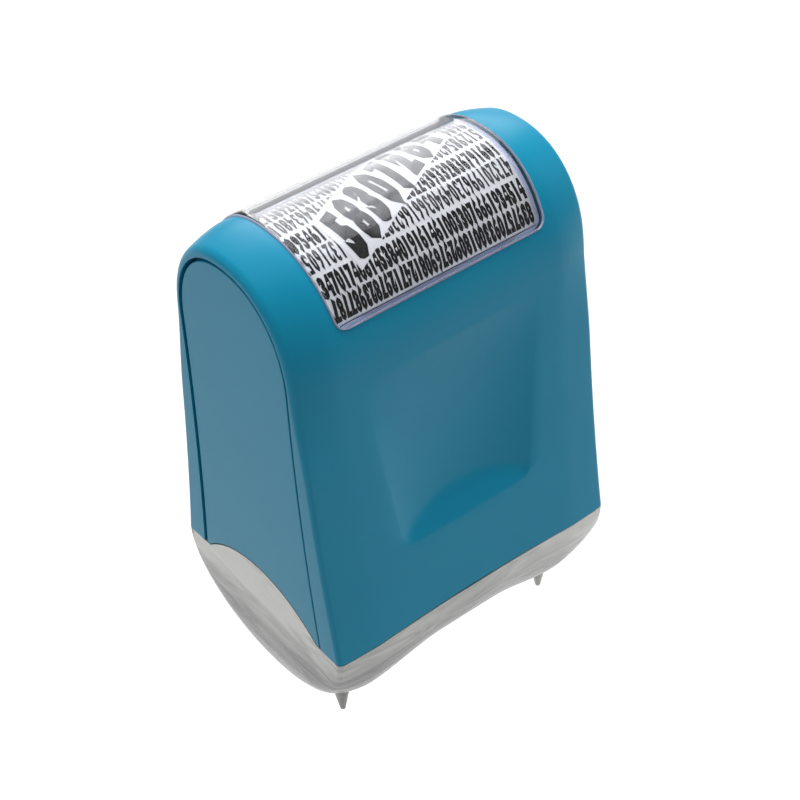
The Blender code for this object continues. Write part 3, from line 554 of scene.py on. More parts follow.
def window_sheet(margin, inset, thickness, columns):
    """A curved plate with rounded corners, as large as the window less a margin."""
    front = window_places(margin, window_steps)
    sheet_rows = [(-1, None, angle, half) for angle, half in front]
    sheet_rows += [(1, *row[1:]) for row in reversed(sheet_rows[:-1])]
    mesh = bmesh.new()
    along = len(sheet_rows) - 1
    bmesh.ops.create_grid(mesh, x_segments=columns, y_segments=along, size=1.0)
    for vertex in mesh.verts:
        row = sheet_rows[round((vertex.co.y + 1) / 2 * along)]
        vertex.co = on_profile(row, row[3] * vertex.co.x, inset, inset)
    mesh.normal_update()
    if sum(face.normal.z for face in mesh.faces) < 0:
        bmesh.ops.reverse_faces(mesh, faces=mesh.faces)
    bmesh.ops.solidify(mesh, geom=mesh.faces[:], thickness=thickness)
    bmesh.ops.recalc_face_normals(mesh, faces=mesh.faces)
    return mesh


def outwards(face):
    """How squarely a face of a bent sheet looks out of the arch: 1 straight out, and 0 to its sides."""
    middle = face.calc_center_median()
    return face.normal.dot(Vector((0, middle.y, middle.z - shoulder_z)).normalized())


label_mesh = window_sheet(label_margin, label_inset, label_thick, label_columns)
printed_side = [face for face in label_mesh.faces if outwards(face) > facing]
border = bmesh.ops.inset_region(label_mesh, faces=printed_side, thickness=label_border, use_boundary=True)
for face in border["faces"]:
    face.material_index = 1

# The card greys towards the back: a painted sheen, standing in for the lens's grazing reflection.
painted_sheen_start = 0.0  # the tint begins at the middle of the crown, and is full this far behind it
painted_sheen_full = 0.0040


def card_with_painted_sheen(name, front, painted_sheen_colour):
    """Coated card: it stays matt, with a faint fibre relief, and greys behind the crown: a painted sheen that
    stands in for the lens's grazing reflection.
    """
    made, shader, place = start_material(name, {"Roughness": 0.55})
    depth = add_node(made, "SeparateXYZ", {"Vector": place}).outputs["Y"]
    # Painted sheen: the card turns from its front colour to the painted sheen colour behind the crown.
    tint = add_node(made, "MapRange", {"Value": depth, "From Min": painted_sheen_start, "From Max": painted_sheen_full})
    colour = add_node(
        made,
        "Mix",
        {0: tint.outputs["Result"], 6: linear(front), 7: linear(painted_sheen_colour)},
        {"data_type": "RGBA"},
    )
    fibre = add_node(made, "TexNoise", {"Vector": place, "Scale": 1 / 0.0004, "Detail": 4.0})
    relief = add_node(made, "Bump", {"Height": fibre.outputs["Fac"], "Strength": 0.1, "Distance": 0.00001})
    set_sockets(made, shader, {"Base Color": colour.outputs[2], "Normal": relief.outputs["Normal"]})
    return made


# The card is a slightly warm white; its light grey towards the back is a painted sheen, the lens's grazing
# reflection. Its bare border is a pale lilac-grey, greyer towards the back by the same painted sheen.
white_card = card_with_painted_sheen("card_with_painted_sheen", "#DEDEDA", "#B4B4B3")
border_card = card_with_painted_sheen("tinted_card_border_with_painted_sheen", "#BFC5DC", "#B0B4C4")
label_cards = [white_card, border_card]
label = add_piece("printed_label", label_mesh, label_cards, "housing")
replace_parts(label, "pattern_label")

arc_angles = spaced(0, math.pi / 2, arc_steps)
arc_points = [Vector(arch_point(angle, label_inset, label_inset)) for angle in arc_angles]
arc_lengths = [0.0]
for here, there in zip(arc_points, arc_points[1:]):
    arc_lengths.append(arc_lengths[-1] + (there - here).length)
over_top = 2 * arc_lengths[-1]
window_foot = arc_lengths[bisect.bisect(arc_angles, window_start)]


def angle_at(length):
    """The angle round the arch at a length along the label, from the front shoulder up to the top."""
    place = min(len(arc_lengths) - 2, max(0, bisect.bisect(arc_lengths, length) - 1))
    share = (length - arc_lengths[place]) / (arc_lengths[place + 1] - arc_lengths[place])
    return arc_angles[place] + (arc_angles[place + 1] - arc_angles[place]) * share


def on_label(x, rise, lift):
    """A point just over the label. rise is the length round the arch from the foot of the window."""
    length = window_foot + rise
    back = length > arc_lengths[-1]
    angle = angle_at(over_top - length if back else length)
    half, z = arch_point(angle, label_inset - lift, label_inset - lift)
    return x, half if back else -half, z


def print_half(rise):
    """Half the width of the printed part of the label."""
    length = window_foot + rise
    angle = angle_at(min(length, over_top - length))
    half = window_foot_half + (window_top_half - window_foot_half) * math.sin(angle)
    return half - label_margin - label_border - print_margin


def cut_to_bend(mesh):
    """Cuts a flat mesh along even lines both ways, so that it can bend."""
    for axis in (0, 1):
        places = [vertex.co[axis] for vertex in mesh.verts]
        first, last = min(places), max(places)
        normal = Vector((1 - axis, axis, 0))
        for place in spaced(first, last, math.ceil((last - first) / bend_step))[1:-1]:
            everything = mesh.verts[:] + mesh.edges[:] + mesh.faces[:]
            bmesh.ops.bisect_plane(mesh, geom=everything, plane_co=normal * place, plane_no=normal)


font_width = 0.56  # a digit's size in the font's own units
font_height = 0.72
enlarged = 1000  # digits are outlined in millimetres, and made metres again as meshes


def digit_shapes(width, height, weight, curve_steps=2):
    """The ten digits as flat meshes, squeezed to a real width and height and thickened by a real weight."""
    shapes = []
    for digit in "0123456789":
        letter = bpy.data.curves.new("digit", "FONT")
        letter.body = digit
        letter.resolution_u = curve_steps
        holder = add_object("digit", letter)
        outline = holder.to_curve(bpy.context.evaluated_depsgraph_get()).copy()
        bpy.data.objects.remove(holder)
        bpy.data.curves.remove(letter)
        xs = [point.co.x for spline in outline.splines for point in spline.bezier_points]
        narrowed, lowered = (width - 2 * weight) / font_width, (height - 2 * weight) / font_height
        squeeze = Matrix.Diagonal((narrowed, lowered, 1, 1))
        centre = Matrix.Translation((-(min(xs) + max(xs)) / 2, -font_height / 2, 0))
        outline.transform(Matrix.Scale(enlarged, 4) @ squeeze @ centre)
        outline.dimensions = "2D"
        outline.fill_mode = "BOTH"
        outline.offset = enlarged * weight
        holder = add_object("digit", outline)
        flat = bpy.data.meshes.new_from_object(holder.evaluated_get(bpy.context.evaluated_depsgraph_get()))
        bpy.data.objects.remove(holder)
        bpy.data.curves.remove(outline)
        mesh = bmesh.new()
        mesh.from_mesh(flat)
        bmesh.ops.scale(mesh, verts=mesh.verts, vec=[1 / enlarged] * 3)
        cut_to_bend(mesh)
        mesh.to_mesh(flat)
        mesh.free()
        shapes.append(flat)
    return shapes


def add_print(layer, shape, place):
    """Copies a flat shape into a layer of ink. place takes its flat x and y to a point on the label."""
    first = len(layer.verts)
    layer.from_mesh(shape)
    layer.verts.ensure_lookup_table()
    for vertex in layer.verts[first:]:
        vertex.co = place(vertex.co.x, vertex.co.y)


def flat_panel(width, height):
    """A flat oblong, cut so that it can bend."""
    mesh = bmesh.new()
    bmesh.ops.create_grid(mesh, x_segments=1, y_segments=1, size=0.5)
    bmesh.ops.scale(mesh, verts=mesh.verts, vec=(width, height, 1))
    cut_to_bend(mesh)
    return mesh_data("panel", mesh)


def finish_print(name, layer, ink):
    """Makes a layer of ink a piece of the housing."""
    data = mesh_data(name, layer)
    data.materials.append(ink)
    piece = add_object(name, data)
    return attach(piece, "housing")


def printing_ink(name, dark, light):
    """Offset printing ink: flat, nearly without gloss, and a little uneven over a few millimetres."""
    made, shader, place = start_material(name, {"Roughness": 0.5, "Specular IOR Level": 0.1})
    cover = add_node(made, "TexNoise", {"Vector": place, "Scale": 1 / 0.005, "Detail": 1.0})
    contrast = add_node(made, "MapRange", {"Value": cover.outputs["Fac"], "From Min": 0.35, "From Max": 0.65})
    colour = add_node(
        made,
        "Mix",
        {0: contrast.outputs["Result"], 6: linear(dark), 7: linear(light)},
        {"data_type": "RGBA"},
    )
    set_sockets(made, shader, {"Base Color": colour.outputs[2]})
    return made


row_pitch = 0.00322
row_digits = 40
row_foot = 0.0007
digit_height = 0.00290
rule_height = 0.00009  # a fine line closes the rows at the foot and at the back
rule_gap = 0.00012
digit_seed = 11

# Each style of row: the width of its digits, the weight added to their strokes, and its ink.
row_styles = {}
for style, width, weight, ink in (
    ("heavy", 0.00092, 0.00016, "black"),
    ("dark", 0.00088, 0.00012, "black"),
    ("light", 0.00086, 0.00008, "grey"),
    ("pale_under_painted_sheen", 0.00086, 0.00007, "pale_under_painted_sheen"),
):
    row_styles[style] = (digit_shapes(width, digit_height, weight), ink)
inks = {
    "black": printing_ink("black_printing_ink", "#020202", "#0A0A0B"),
    "grey": printing_ink("grey_printing_ink", "#1A1A1B", "#505051"),
    # The pale grey ink paints the lens's sheen over the back rows of print: a painted reflection.
    "pale_under_painted_sheen": printing_ink("grey_printing_ink_for_painted_sheen", "#7C7C7C", "#8C8C8C"),
    "white": printing_ink("white_printing_ink", "#DEDEDA", "#E4E4E0"),
    "band": printing_ink("dark_grey_printing_ink", "#161616", "#646462"),
}
layers = {ink: bmesh.new() for ink in ("black", "grey", "pale_under_painted_sheen")}
dice = random.Random(digit_seed)
# The last three rows are printed pale grey: painted sheen, standing in for the lens's grazing reflection over
# the back of the label.
row_order = ["heavy", "heavy", "light", "dark", "light", "dark", "pale_under_painted_sheen", "pale_under_painted_sheen", "pale_under_painted_sheen"]
for number, style in enumerate(row_order):
    shapes, ink = row_styles[style]
    middle = row_foot + (number + 0.5) * row_pitch
    half = print_half(middle)
    turned = 1 if number % 2 else -1
    for column in range(row_digits):
        centre = half * ((2 * column + 1) / row_digits - 1)
        add_print(
            layers[ink],
            dice.choice(shapes),
            lambda x, y: on_label(centre + turned * x, middle + turned * y, ink_lift),
        )
rule = flat_panel(2 * print_half(0.0), rule_height)
for rise in (row_foot - rule_gap, row_foot + len(row_order) * row_pitch + rule_gap):
    add_print(layers["black"], rule, lambda x, y: on_label(x, rise + y, ink_lift))
for ink, layer in layers.items():
    finish_print(f"label_{ink}_rows", layer, inks[ink])

band_left = -0.0096
band_foot = 0.0059
band_slope = 0.505
band_lean = 0.186
band_height = 0.0084
band_digits = "58307264"
band_pitch = 0.00276
band_digit_width = 0.00268
band_weight = 0.00048
band_margin = 0.00045


def on_band(x, y, lift):
    """A point of the slanting band: x along it from its left end, y up from its lower edge."""
    across = band_left + x - band_lean * y
    return on_label(across, band_foot + band_slope * (across - band_left) + y, lift)


band_width = len(band_digits) * band_pitch
white_panel, band_print = bmesh.new(), bmesh.new()
panel = flat_panel(band_width + 2 * band_margin, band_height + 2 * band_margin)
add_print(
    white_panel,
    panel,
    lambda x, y: on_band(x + band_width / 2, y + band_height / 2, 2 * ink_lift),
)
band_shapes = digit_shapes(band_digit_width, band_height, band_weight)
for place, digit in enumerate(band_digits):
    add_print(
        band_print,
        band_shapes[int(digit)],
        lambda x, y: on_band(x + (place + 0.5) * band_pitch, y + band_height / 2, 3 * ink_lift),
    )
finish_print("label_band_panel", white_panel, inks["white"])
finish_print("label_band_digits", band_print, inks["band"])

# Window lens
# A clear cover over the label, moulded in polished polystyrene and bent to the arch. It snaps into the
# pocket, stands a little proud, and its rounded rim catches the light as a pale line.
lens_edge_round = 0.00030
lens_columns = 24
rim_turn = math.radians(60)  # an edge of the rim turns further than this
lens_mesh = window_sheet(0.0, -lens_proud, lens_thick, lens_columns)
for face in lens_mesh.faces:
    if abs(outwards(face)) < facing:
        face.material_index = 1
lens_rim = [edge for edge in lens_mesh.edges if edge.calc_face_angle(0.0) > rim_turn]
round_edges(lens_mesh, lens_rim, lens_edge_round, 3)


def let_light_through(material, shader, tint):
    """Lets lamps light what lies behind a clear piece, as its thin wall does on the real one."""
    tree = material.node_tree
    clear = add_node(material, "BsdfTransparent", {"Color": tint})
    path = add_node(material, "LightPath")
    mix = add_node(
        material,
        "MixShader",
        {0: path.outputs["Is Shadow Ray"], 1: shader.outputs["BSDF"], 2: clear.outputs["BSDF"]},
    )
    tree.links.new(mix.outputs["Shader"], tree.nodes["Material Output"].inputs["Surface"])


# Polished polystyrene: water clear, with a sharp gloss that turns to a grey sheen where it is seen flat on.
water_clear = {"Base Color": linear("#F2F3F8"), "Roughness": 0.04, "IOR": 1.36, "Transmission Weight": 1.0}
clear_lens, shader = start_material("clear_polished_polystyrene", water_clear)[:2]
let_light_through(clear_lens, shader, linear("#DFE1E6"))
# The lens's sides are left ground, so its edge looks a matt pale lilac-grey.
ground_edge = {"Base Color": linear("#B4BAD0"), "Roughness": 0.6, "IOR": 1.49}
ground_side, shader, place = start_material("ground_polystyrene_edge", ground_edge)
frosting = add_node(ground_side, "TexNoise", {"Vector": place, "Scale": 1 / 0.0003, "Detail": 2.0})
ground = {"Height": frosting.outputs["Fac"], "Strength": 0.2, "Distance": 0.00002}
relief = add_node(ground_side, "Bump", ground)
set_sockets(ground_side, shader, {"Normal": relief.outputs["Normal"]})
lens = add_piece("clear_window_lens", lens_mesh, [clear_lens, ground_side], "housing")
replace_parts(lens, "window_lens")

# Clear cap
# The cap over the print roller, moulded in frosted clear polystyrene. It is a trough with a waist, rounded
# ends and a raised tab in each end arch, and stands on four small pointed feet.
cap_wall = 0.0013
cap_gap = 0.00012
cap_floor = 0.0010  # the feet hold the cap's ends this far above the desk
cap_rim = edge_z - cap_gap
cap_depth_end = cap_rim - cap_floor
cap_power = 2.05
cap_end_round = 0.0078
cap_waist = 0.0028
waist_margin = 0.0069
waist_slope = 0.0120
lip_half = half_width - 0.0099
lip_thick = 0.0009
lip_rise = 0.0024
lip_shoulder = 0.0020
foot_x = half_width - 0.0053
foot_y = base_half - 0.0084
foot_top = 0.0052
foot_root_radius = 0.0014
foot_tip_radius = 0.0004
cap_straight_steps = 26
cap_round_steps = 16
cap_turn_steps = 88


def cap_depth(x, thick):
    """Depth of the cap below its rim at x: shallower at the waist, and rounded up at the ends."""
    radius = cap_end_round - thick
    into = min(radius, max(0.0, abs(x) - (half_width - cap_end_round)))
    waist = cap_waist * eased((half_width - waist_margin - abs(x)) / waist_slope)
    return cap_depth_end - thick - waist - radius + math.sqrt(radius**2 - into**2)


def cap_edge_inset(x):
    """How far the rim lies inside the middle profile at x, to stay flush with the housing."""
    start = half_width - side_fillet
    share = min(1.0, max(0.0, (abs(x) - crease_foot) / (start - crease_foot)))
    into = min(side_fillet, max(0.0, abs(x) - start))
    return side_sweep * share + side_fillet - math.sqrt(side_fillet**2 - into**2)


def cap_point(turn, station):
    """A point of the cap's wall at a (layer, x). turn goes from the front rim under to the back."""
    layer, x = station
    thick = cap_wall if layer.startswith("inner") else 0.0
    rise = max(0.0, edge_bow_rise * (1 - (x / edge_bow_half) ** 2))
    half = base_half - cap_edge_inset(half_width if thick and "tab" in layer else x) - thick
    cosine = math.cos(turn)
    y = -half * math.copysign(abs(cosine) ** (2 / cap_power), cosine)
    if "tab" in layer:
        return x, y, max(cap_rim, tab_height(y))
    depth = cap_depth(x, thick) + rise
    return x, y, cap_rim + rise - depth * abs(math.sin(turn)) ** (2 / cap_power)


def tab_height(y):
    """Height of the raised tab that fills an end arch, with a gap to the cover."""
    radius = (arch_cut_half**2 + arch_cut_rise**2) / (2 * arch_cut_rise)
    centre = rim_z + arch_cut_rise - radius
    reach = radius - seat_gap / 2
    return centre + math.sqrt(reach**2 - y**2) if abs(y) < arch_cut_half else cap_rim


straight = half_width - cap_end_round
quarter = spaced(0, math.pi / 2, cap_round_steps)
inner_round = cap_end_round - cap_wall
outer_xs = spaced(0, straight, cap_straight_steps)[:-1]
inner_xs = outer_xs + [straight + inner_round * math.sin(turn) for turn in quarter]
outer_xs += [straight + cap_end_round * math.sin(turn) for turn in quarter]
cap_stations = [("outer", -x) for x in reversed(outer_xs[1:])] + [("outer", x) for x in outer_xs]
cap_stations += [("outer tab", cover_out), ("inner tab", half_width - cap_wall)]
cap_stations += [("inner", x) for x in reversed(inner_xs)] + [("inner", -x) for x in inner_xs[1:]]
cap_stations += [("inner tab", cap_wall - half_width), ("outer tab", -cover_out)]
cap_mesh = wall_grid(spaced(0, math.pi, cap_turn_steps), cap_stations, cap_point)[0]
close_rims(cap_mesh)

for side_x in (-1, 1):
    for side_y in (-1, 1):
        spot = Matrix.Translation((side_x * foot_x, side_y * foot_y, foot_top / 2))
        bmesh.ops.create_cone(
            cap_mesh,
            cap_ends=True,
            segments=24,
            radius1=foot_tip_radius,
            radius2=foot_root_radius,
            depth=foot_top,
            matrix=spot,
        )
for side in (-1, 1):
    top = edge_z + lip_rise
    low_out, top_out = side_half(edge_z, wall + seat_gap), side_half(top, wall + seat_gap)
    middle = base_half - cap_wall / 2
    outline = [(middle, rim_z), (low_out, rim_z), (top_out, top), (top_out - lip_thick, top)]
    outline += [(low_out - lip_thick, rim_z), (middle - lip_thick / 2, rim_z - lip_shoulder)]
    add_bar(cap_mesh, [(-lip_half, side * y, z) for y, z in outline], 2 * lip_half)

# Frosted polystyrene: clear resin with a fine matt skin, cloudy inside, with soft grey streaks that run round
# the wall, longer than wide. Painted shade makes it darkest half-way down, where the wall is seen steeply,
# and painted light makes it paler at the rim and the feet, to the right, to the back and towards both ends.
# Painted shade and light: the wall is painted darkest at one height, paler above and below it, and paler to
# the right, to the back and towards both ends.
painted_shade_height = 0.0105  # height of the darkest band
painted_shade_reach = 0.0095  # height above or below it at which the wall is palest
painted_shade_depth = 0.95  # how much paler the wall is there
painted_light_way = (9.0, 12.0, 0.0)  # how much paler the wall gets for each metre to the right and to the back
painted_light_to_ends = 15.0  # the same for each metre out to either end
painted_light_ends_offset = -0.27  # makes that nothing at 18 mm from the middle
streak_share = 0.45
cloudy = {"Roughness": 0.26, "IOR": 1.45, "Specular IOR Level": 0.25, "Transmission Weight": 0.16}
frosted_resin, shader, place = start_material("frosted_clear_polystyrene", cloudy)
drawn_out = add_node(frosted_resin, "Mapping", {"Vector": place, "Scale": (0.7, 0.7, 3.0)}).outputs["Vector"]
streaks = add_node(
    frosted_resin,
    "TexNoise",
    {"Vector": drawn_out, "Scale": 1 / 0.009, "Detail": 1.5, "Distortion": 1.4},
).outputs["Fac"]
cloud = add_node(frosted_resin, "MapRange", {"Value": streaks, "From Min": 0.36, "From Max": 0.66})
split = add_node(frosted_resin, "SeparateXYZ", {"Vector": place})
# Painted shade: darkest at its height, paler towards the rim and the feet.
off_painted_shade = {0: split.outputs["Z"], 1: painted_shade_height}
off_painted_shade = add_node(frosted_resin, "Math", off_painted_shade, {"operation": "SUBTRACT"}).outputs[0]
off_painted_shade = add_node(frosted_resin, "Math", {0: off_painted_shade}, {"operation": "ABSOLUTE"}).outputs[0]
painted_shade_fade = add_node(
    frosted_resin,
    "MapRange",
    {"Value": off_painted_shade, "From Min": 0.0, "From Max": painted_shade_reach, "To Max": painted_shade_depth},
    {"interpolation_type": "SMOOTHSTEP"},
).outputs["Result"]
# Painted light: paler to the right, to the back and out towards both ends.
drift_and_painted_light = {0: place, 1: painted_light_way}
drift_and_painted_light = add_node(frosted_resin, "VectorMath", drift_and_painted_light, {"operation": "DOT_PRODUCT"}).outputs["Value"]
drift_and_painted_light = add_node(frosted_resin, "Math", {0: drift_and_painted_light, 1: painted_shade_fade}, {"operation": "ADD"}).outputs[0]
aside = add_node(frosted_resin, "Math", {0: split.outputs["X"]}, {"operation": "ABSOLUTE"}).outputs[0]
painted_light_at_ends = {0: aside, 1: painted_light_to_ends, 2: painted_light_ends_offset}
painted_light_at_ends = add_node(frosted_resin, "Math", painted_light_at_ends, {"operation": "MULTIPLY_ADD"}).outputs[0]
drift_and_painted_light = add_node(frosted_resin, "Math", {0: drift_and_painted_light, 1: painted_light_at_ends}, {"operation": "ADD"}).outputs[0]
shade = {0: cloud.outputs["Result"], 1: streak_share, 2: drift_and_painted_light}
shade = add_node(frosted_resin, "Math", shade, {"operation": "MULTIPLY_ADD", "use_clamp": True}).outputs[0]
# The dark colour carries the painted shade and the pale one the painted light, over the grey streaks.
resin_colour_and_painted_light = add_node(
    frosted_resin,
    "Mix",
    {0: shade, 6: linear("#343635"), 7: linear("#CBCCC7")},
    {"data_type": "RGBA"},
).outputs[2]
relief = {"Height": streaks, "Strength": 0.4, "Distance": 0.0005}
relief = add_node(frosted_resin, "Bump", relief).outputs["Normal"]
set_sockets(frosted_resin, shader, {"Base Color": resin_colour_and_painted_light, "Normal": relief})
let_light_through(frosted_resin, shader, linear("#B4B5B5"))
cap = add_piece("frosted_cap", cap_mesh, [frosted_resin], "cap")
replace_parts(cap, "clear_cap")

# Cartridge frame, tank, lid and plug
# The pull-out cartridge that carries both rollers and the ink tank: white and grey polypropylene
# mouldings with softly broken edges, clipped together.
cartridge_edge_round = 0.00018
flat_turn = math.radians(1)  # faces that turn by less than this are one flat face
sharp_turn = math.radians(50)


def rounded_copy(node, material):
    """A copy of a CAD node with its edges rounded, which stands for that node."""
    mesh = bmesh.new()
    mesh.from_mesh(frame["nodes"][node].data)
    bmesh.ops.remove_doubles(mesh, verts=mesh.verts, dist=merge_distance)
    bmesh.ops.dissolve_limit(mesh, angle_limit=flat_turn, verts=mesh.verts, edges=mesh.edges)
    sharp = [edge for edge in mesh.edges if edge.calc_face_angle(0.0) > sharp_turn]
    round_edges(mesh, sharp, cartridge_edge_round, 2, clamp=True)
    piece = even_shading(add_piece(f"moulded_{node}", mesh, [material], frame["nodes"][node]["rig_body"]))
    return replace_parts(piece, node)


def moulded_polypropylene(name, colour):
    """Polypropylene from a plain mould: a soft, slightly waxy gloss with faint flow marks."""
    made, shader, place = start_material(name, {"Base Color": linear(colour), "Roughness": 0.45, "IOR": 1.49})
    flow = add_node(made, "TexNoise", {"Vector": place, "Scale": 1 / 0.003, "Detail": 3.0})
    spread = add_node(made, "MapRange", {"Value": flow.outputs["Fac"], "To Min": 0.40, "To Max": 0.52})
    relief = add_node(made, "Bump", {"Height": flow.outputs["Fac"], "Strength": 0.1, "Distance": 0.00005})
    set_sockets(made, shader, {"Roughness": spread.outputs["Result"], "Normal": relief.outputs["Normal"]})
    return made


white_pp = moulded_polypropylene("white_polypropylene", "#DDDEDB")
grey_pp = moulded_polypropylene("grey_polypropylene", "#6F7172")
rounded_copy("cartridge_frame", white_pp)
rounded_copy("ink_tank", grey_pp)
rounded_copy("tank_lid", grey_pp)
rounded_copy("filler_plug", white_pp)

# Print roller
# A grey polypropylene core with two hubs turns on a ground steel axle. A soft rubber ring at each end
# rolls on the paper, and the printing sleeve is pressed on between them.


def finish_node(node, material):
    """Gives a CAD node its better material."""
    slots = frame["nodes"][node].data.materials
    slots.clear()
    slots.append(material)


# Moulded rubber: nearly black and matt, with a fine uneven bloom of about 0.5 mm.
matt_black = {"Base Color": linear("#2B2B2E"), "Roughness": 0.7}
stamp_rubber, shader, place = start_material("stamp_rubber", matt_black)
bloom = add_node(stamp_rubber, "TexNoise", {"Vector": place, "Scale": 1 / 0.0005, "Detail": 3.0})
dusty = {"Height": bloom.outputs["Fac"], "Strength": 0.2, "Distance": 0.00003}
relief = add_node(stamp_rubber, "Bump", dusty)
set_sockets(stamp_rubber, shader, {"Normal": relief.outputs["Normal"]})
# Ground steel: bright, with grinding marks that spread its gloss here and there.
bare_steel = {"Base Color": linear("#C9CACC"), "Metallic": 1.0}
ground_steel, shader, place = start_material("ground_steel", bare_steel)
lay = add_node(ground_steel, "TexNoise", {"Vector": place, "Scale": 1 / 0.0004, "Detail": 2.0})
spread = add_node(ground_steel, "MapRange", {"Value": lay.outputs["Fac"], "To Min": 0.22, "To Max": 0.38})
set_sockets(ground_steel, shader, {"Roughness": spread.outputs["Result"]})
for node, material in (
    ("drive_ring_left", stamp_rubber),
    ("drive_ring_right", stamp_rubber),
    ("print_core", grey_pp),
    ("core_hub_left", grey_pp),
    ("core_hub_right", grey_pp),
    ("print_axle", ground_steel),
):
    finish_node(node, material)

# Print sleeve
# The rubber sleeve that prints: rows of raised digits, mirrored so that they print the right way round,
# moulded in one with a thin base and pressed over the core. Ink stands glossy on the raised faces.
sleeve_low, sleeve_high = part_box("print_sleeve")
axle_z = (sleeve_low.z + sleeve_high.z) / 2
sleeve_inset = 0.00003  # keeps the raised digits just inside the CAD sleeve
sleeve_radius = (sleeve_high.z - sleeve_low.z) / 2 - sleeve_inset
sleeve_bore = (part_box("print_core")[1].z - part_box("print_core")[0].z) / 2
digit_relief = 0.00035
sleeve_base = sleeve_radius - digit_relief
sleeve_rows = 24
sleeve_row_digits = 28
sleeve_margin = 0.0006
sleeve_weight = 0.00010
sleeve_steps = 96
width_share = 0.88  # share of its room that a digit takes
height_share = 0.86
root_depth = 0.00005  # how far the digits reach into the base
row_room = 2 * math.pi * sleeve_radius / sleeve_rows
digit_room = (sleeve_high.x - sleeve_low.x - 2 * sleeve_margin) / sleeve_row_digits
sleeve_digits = digit_shapes(width_share * digit_room, height_share * row_room, sleeve_weight, 1)
sleeve_mesh = bmesh.new()
for row in range(sleeve_rows):
    for column in range(sleeve_row_digits):
        across = sleeve_low.x + sleeve_margin + (column + 0.5) * digit_room
        turned = 1 if row % 2 else -1
        add_print(
            sleeve_mesh,
            dice.choice(sleeve_digits),
            lambda x, y: (across - turned * x, (row + 0.5) * row_room + turned * y, 0.0),
        )
bmesh.ops.recalc_face_normals(sleeve_mesh, faces=sleeve_mesh.faces)
for face in sleeve_mesh.faces:
    face.material_index = 1
    if face.normal.z < 0:
        face.normal_flip()
bmesh.ops.solidify(sleeve_mesh, geom=sleeve_mesh.faces[:], thickness=sleeve_radius - sleeve_base + root_depth)
for face in sleeve_mesh.faces:
    if any(vertex.co.z < -root_depth for vertex in face.verts):
        face.material_index = 0
for vertex in sleeve_mesh.verts:
    x, turn, radius = vertex.co.x, vertex.co.y / sleeve_radius, sleeve_radius + vertex.co.z
    vertex.co = (x, -radius * math.sin(turn), axle_z + radius * math.cos(turn))
ring = [(sleeve_low.x, sleeve_bore), (sleeve_low.x, sleeve_base), (sleeve_high.x, sleeve_base)]
ring.append((sleeve_high.x, sleeve_bore))
corners = [sleeve_mesh.verts.new((x, 0.0, axle_z + radius)) for x, radius in ring]
sides = [sleeve_mesh.edges.new((corners[place - 1], corners[place])) for place in range(4)]
bmesh.ops.spin(
    sleeve_mesh,
    geom=corners + sides,
    cent=(0, 0, axle_z),
    axis=(1, 0, 0),
    angle=2 * math.pi,
    steps=sleeve_steps,
    use_merge=True,
)
# Inked rubber: black, with the uneven gloss of wet ink.
wet_black = {"Base Color": linear("#101014"), "Roughness": 0.25}
inked_rubber, shader, place = start_material("inked_rubber", wet_black)
wet = add_node(inked_rubber, "TexNoise", {"Vector": place, "Scale": 1 / 0.0008, "Detail": 2.0})
spread = add_node(inked_rubber, "MapRange", {"Value": wet.outputs["Fac"], "To Min": 0.15, "To Max": 0.40})
set_sockets(inked_rubber, shader, {"Roughness": spread.outputs["Result"]})
sleeve = add_piece("moulded_print_sleeve", sleeve_mesh, [stamp_rubber, inked_rubber], "print_roller")
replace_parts(sleeve, "print_sleeve")

# Ink roller and sponge
# A white polypropylene spool with a pressed-on cap carries a roller of open foam, which inks the sleeve.
# The sponge in the tank's foot wets it.

# Inked foam: matt and nearly black, with open cells of about 0.5 mm.
inked_foam, shader, place = start_material("inked_foam", {"Base Color": linear("#1B1B22"), "Roughness": 0.9})
cells = add_node(inked_foam, "TexVoronoi", {"Vector": place, "Scale": 1 / 0.0005})
porous = {"Height": cells.outputs["Distance"], "Strength": 0.6, "Distance": 0.0001}
relief = add_node(inked_foam, "Bump", porous)
set_sockets(inked_foam, shader, {"Normal": relief.outputs["Normal"]})
for node, material in (
    ("ink_foam", inked_foam),
    ("ink_sponge", inked_foam),
    ("ink_spool", white_pp),
    ("ink_spool_cap", white_pp),
):
    finish_node(node, material)

# Floor, light and camera
# A plain pale floor under soft studio light: a large softbox behind, which the gloss shows, and three fills
# that only brighten. The camera sees floor and world as white, and gloss and glass see the world light grey.
# The floor lies low enough for the cap and the cartridge to slide out above it.
floor_half = 0.60
floor_drop = 0.070
floor_shine = 0.45
world_light = 0.265
world_mirrored = 0.12
world_seen = 0.54


def background_rays(material, *rays):
    """1 for the named kinds of ray, which see the background, and 0 for the rest."""
    path = add_node(material, "LightPath")
    total = path.outputs[rays[0]]
    for ray in rays[1:]:
        both = {0: total, 1: path.outputs[ray]}
        total = add_node(material, "Math", both, {"operation": "ADD", "use_clamp": True}).outputs[0]
    return total


floor_mesh = bmesh.new()
bmesh.ops.create_grid(floor_mesh, x_segments=1, y_segments=1, size=floor_half)
bmesh.ops.translate(floor_mesh, verts=floor_mesh.verts, vec=(0, 0, -floor_drop))
floor = add_object("floor", mesh_data("floor", floor_mesh))
background = ("Is Camera Ray", "Is Glossy Ray", "Is Transmission Ray")
floor_paint, shader = start_material("white_floor", {"Base Color": linear("#C4C4C4"), "Roughness": 0.9})[:2]
shine = {0: background_rays(floor_paint, *background), 1: floor_shine}
lift = add_node(floor_paint, "Math", shine, {"operation": "MULTIPLY"}).outputs[0]
bright = {"Emission Color": linear("#FFFFFF"), "Emission Strength": lift, "Specular IOR Level": 0.0}
set_sockets(floor_paint, shader, bright)
floor.data.materials.append(floor_paint)

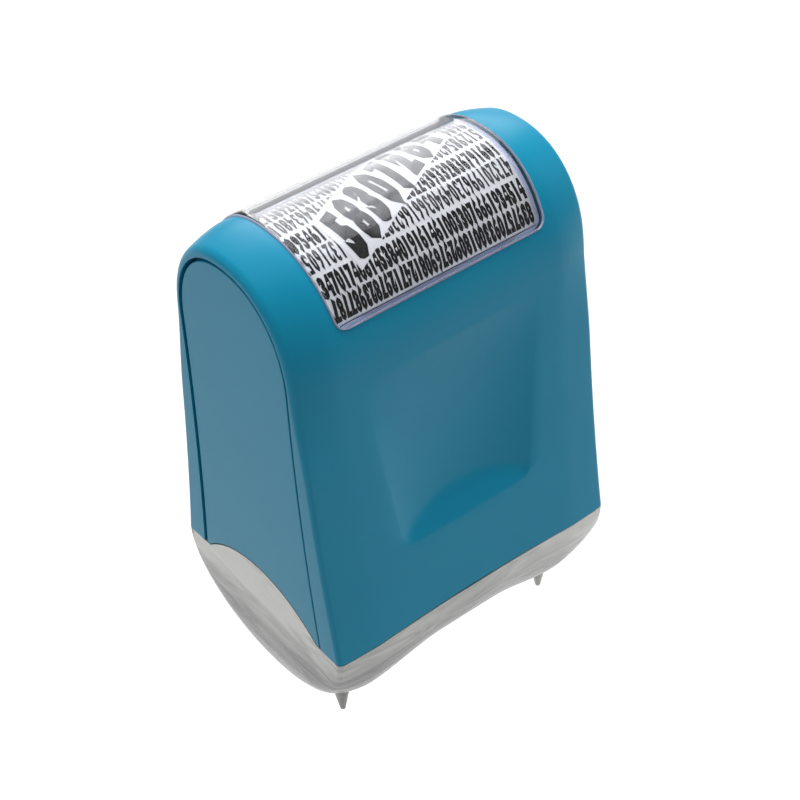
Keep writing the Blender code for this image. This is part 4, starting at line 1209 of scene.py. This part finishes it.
world = bpy.data.worlds.new("studio")
world.use_nodes = True
bpy.context.scene.world = world
mirrored = {0: background_rays(world, *background), 1: world_mirrored, 2: world_light}
strength = add_node(world, "Math", mirrored, {"operation": "MULTIPLY_ADD"}).outputs[0]
seen = {0: background_rays(world, "Is Camera Ray"), 1: world_seen, 2: strength}
strength = add_node(world, "Math", seen, {"operation": "MULTIPLY_ADD"}).outputs[0]
sky = world.node_tree.nodes["Background"]
set_sockets(world, sky, {"Color": linear("#FFFFFF"), "Strength": strength})

# Each lamp: its place, its width in metres, its power in watts, and whether gloss shows it.
lamps = {
    "top_softbox": ((0.08, 0.10, 0.65), 0.50, 3.2, False),
    "back_softbox": ((0.50, 0.70, 0.62), 0.80, 6.4, True),
    "right_softbox": ((0.60, -0.30, 0.35), 0.40, 1.35, False),
    "left_softbox": ((-0.55, 0.20, 0.30), 0.40, 0.6, False),
}
object_middle = Vector((0, 0, (apex_z + rim_z) / 2))
for name, (spot, size, power, shown_in_gloss) in lamps.items():
    lamp = bpy.data.lights.new(name, "AREA")
    lamp.size = size
    lamp.energy = power
    holder = add_object(name, lamp)
    holder.visible_glossy = shown_in_gloss
    holder.location = spot
    holder.rotation_euler = (object_middle - Vector(spot)).to_track_quat("-Z", "Y").to_euler()

camera_azimuth = math.radians(-36.911)
camera_elevation = math.radians(40.786)
camera_roll = math.radians(-2.741)
camera_distance = 0.27722
camera_lens = 86.70
aim_right = 0.00057
aim_up = 0.01647
back = Vector(
    (
        math.sin(camera_azimuth) * math.cos(camera_elevation),
        -math.cos(camera_azimuth) * math.cos(camera_elevation),
        math.sin(camera_elevation),
    )
)
level = Vector((math.cos(camera_azimuth), math.sin(camera_azimuth), 0))
right = math.cos(camera_roll) * level + math.sin(camera_roll) * back.cross(level)
up = back.cross(right)
camera_data = bpy.data.cameras.new("camera")
camera_data.sensor_width = 36
camera_data.lens = camera_lens
camera = add_object("camera", camera_data)
spot = Vector((0, 0, edge_z)) + right * aim_right + up * aim_up + back * camera_distance
camera.matrix_world = Matrix.Translation(spot) @ Matrix((right, up, back)).transposed().to_4x4()
bpy.context.scene.camera = camera
bpy.context.scene.view_settings.view_transform = "Standard"
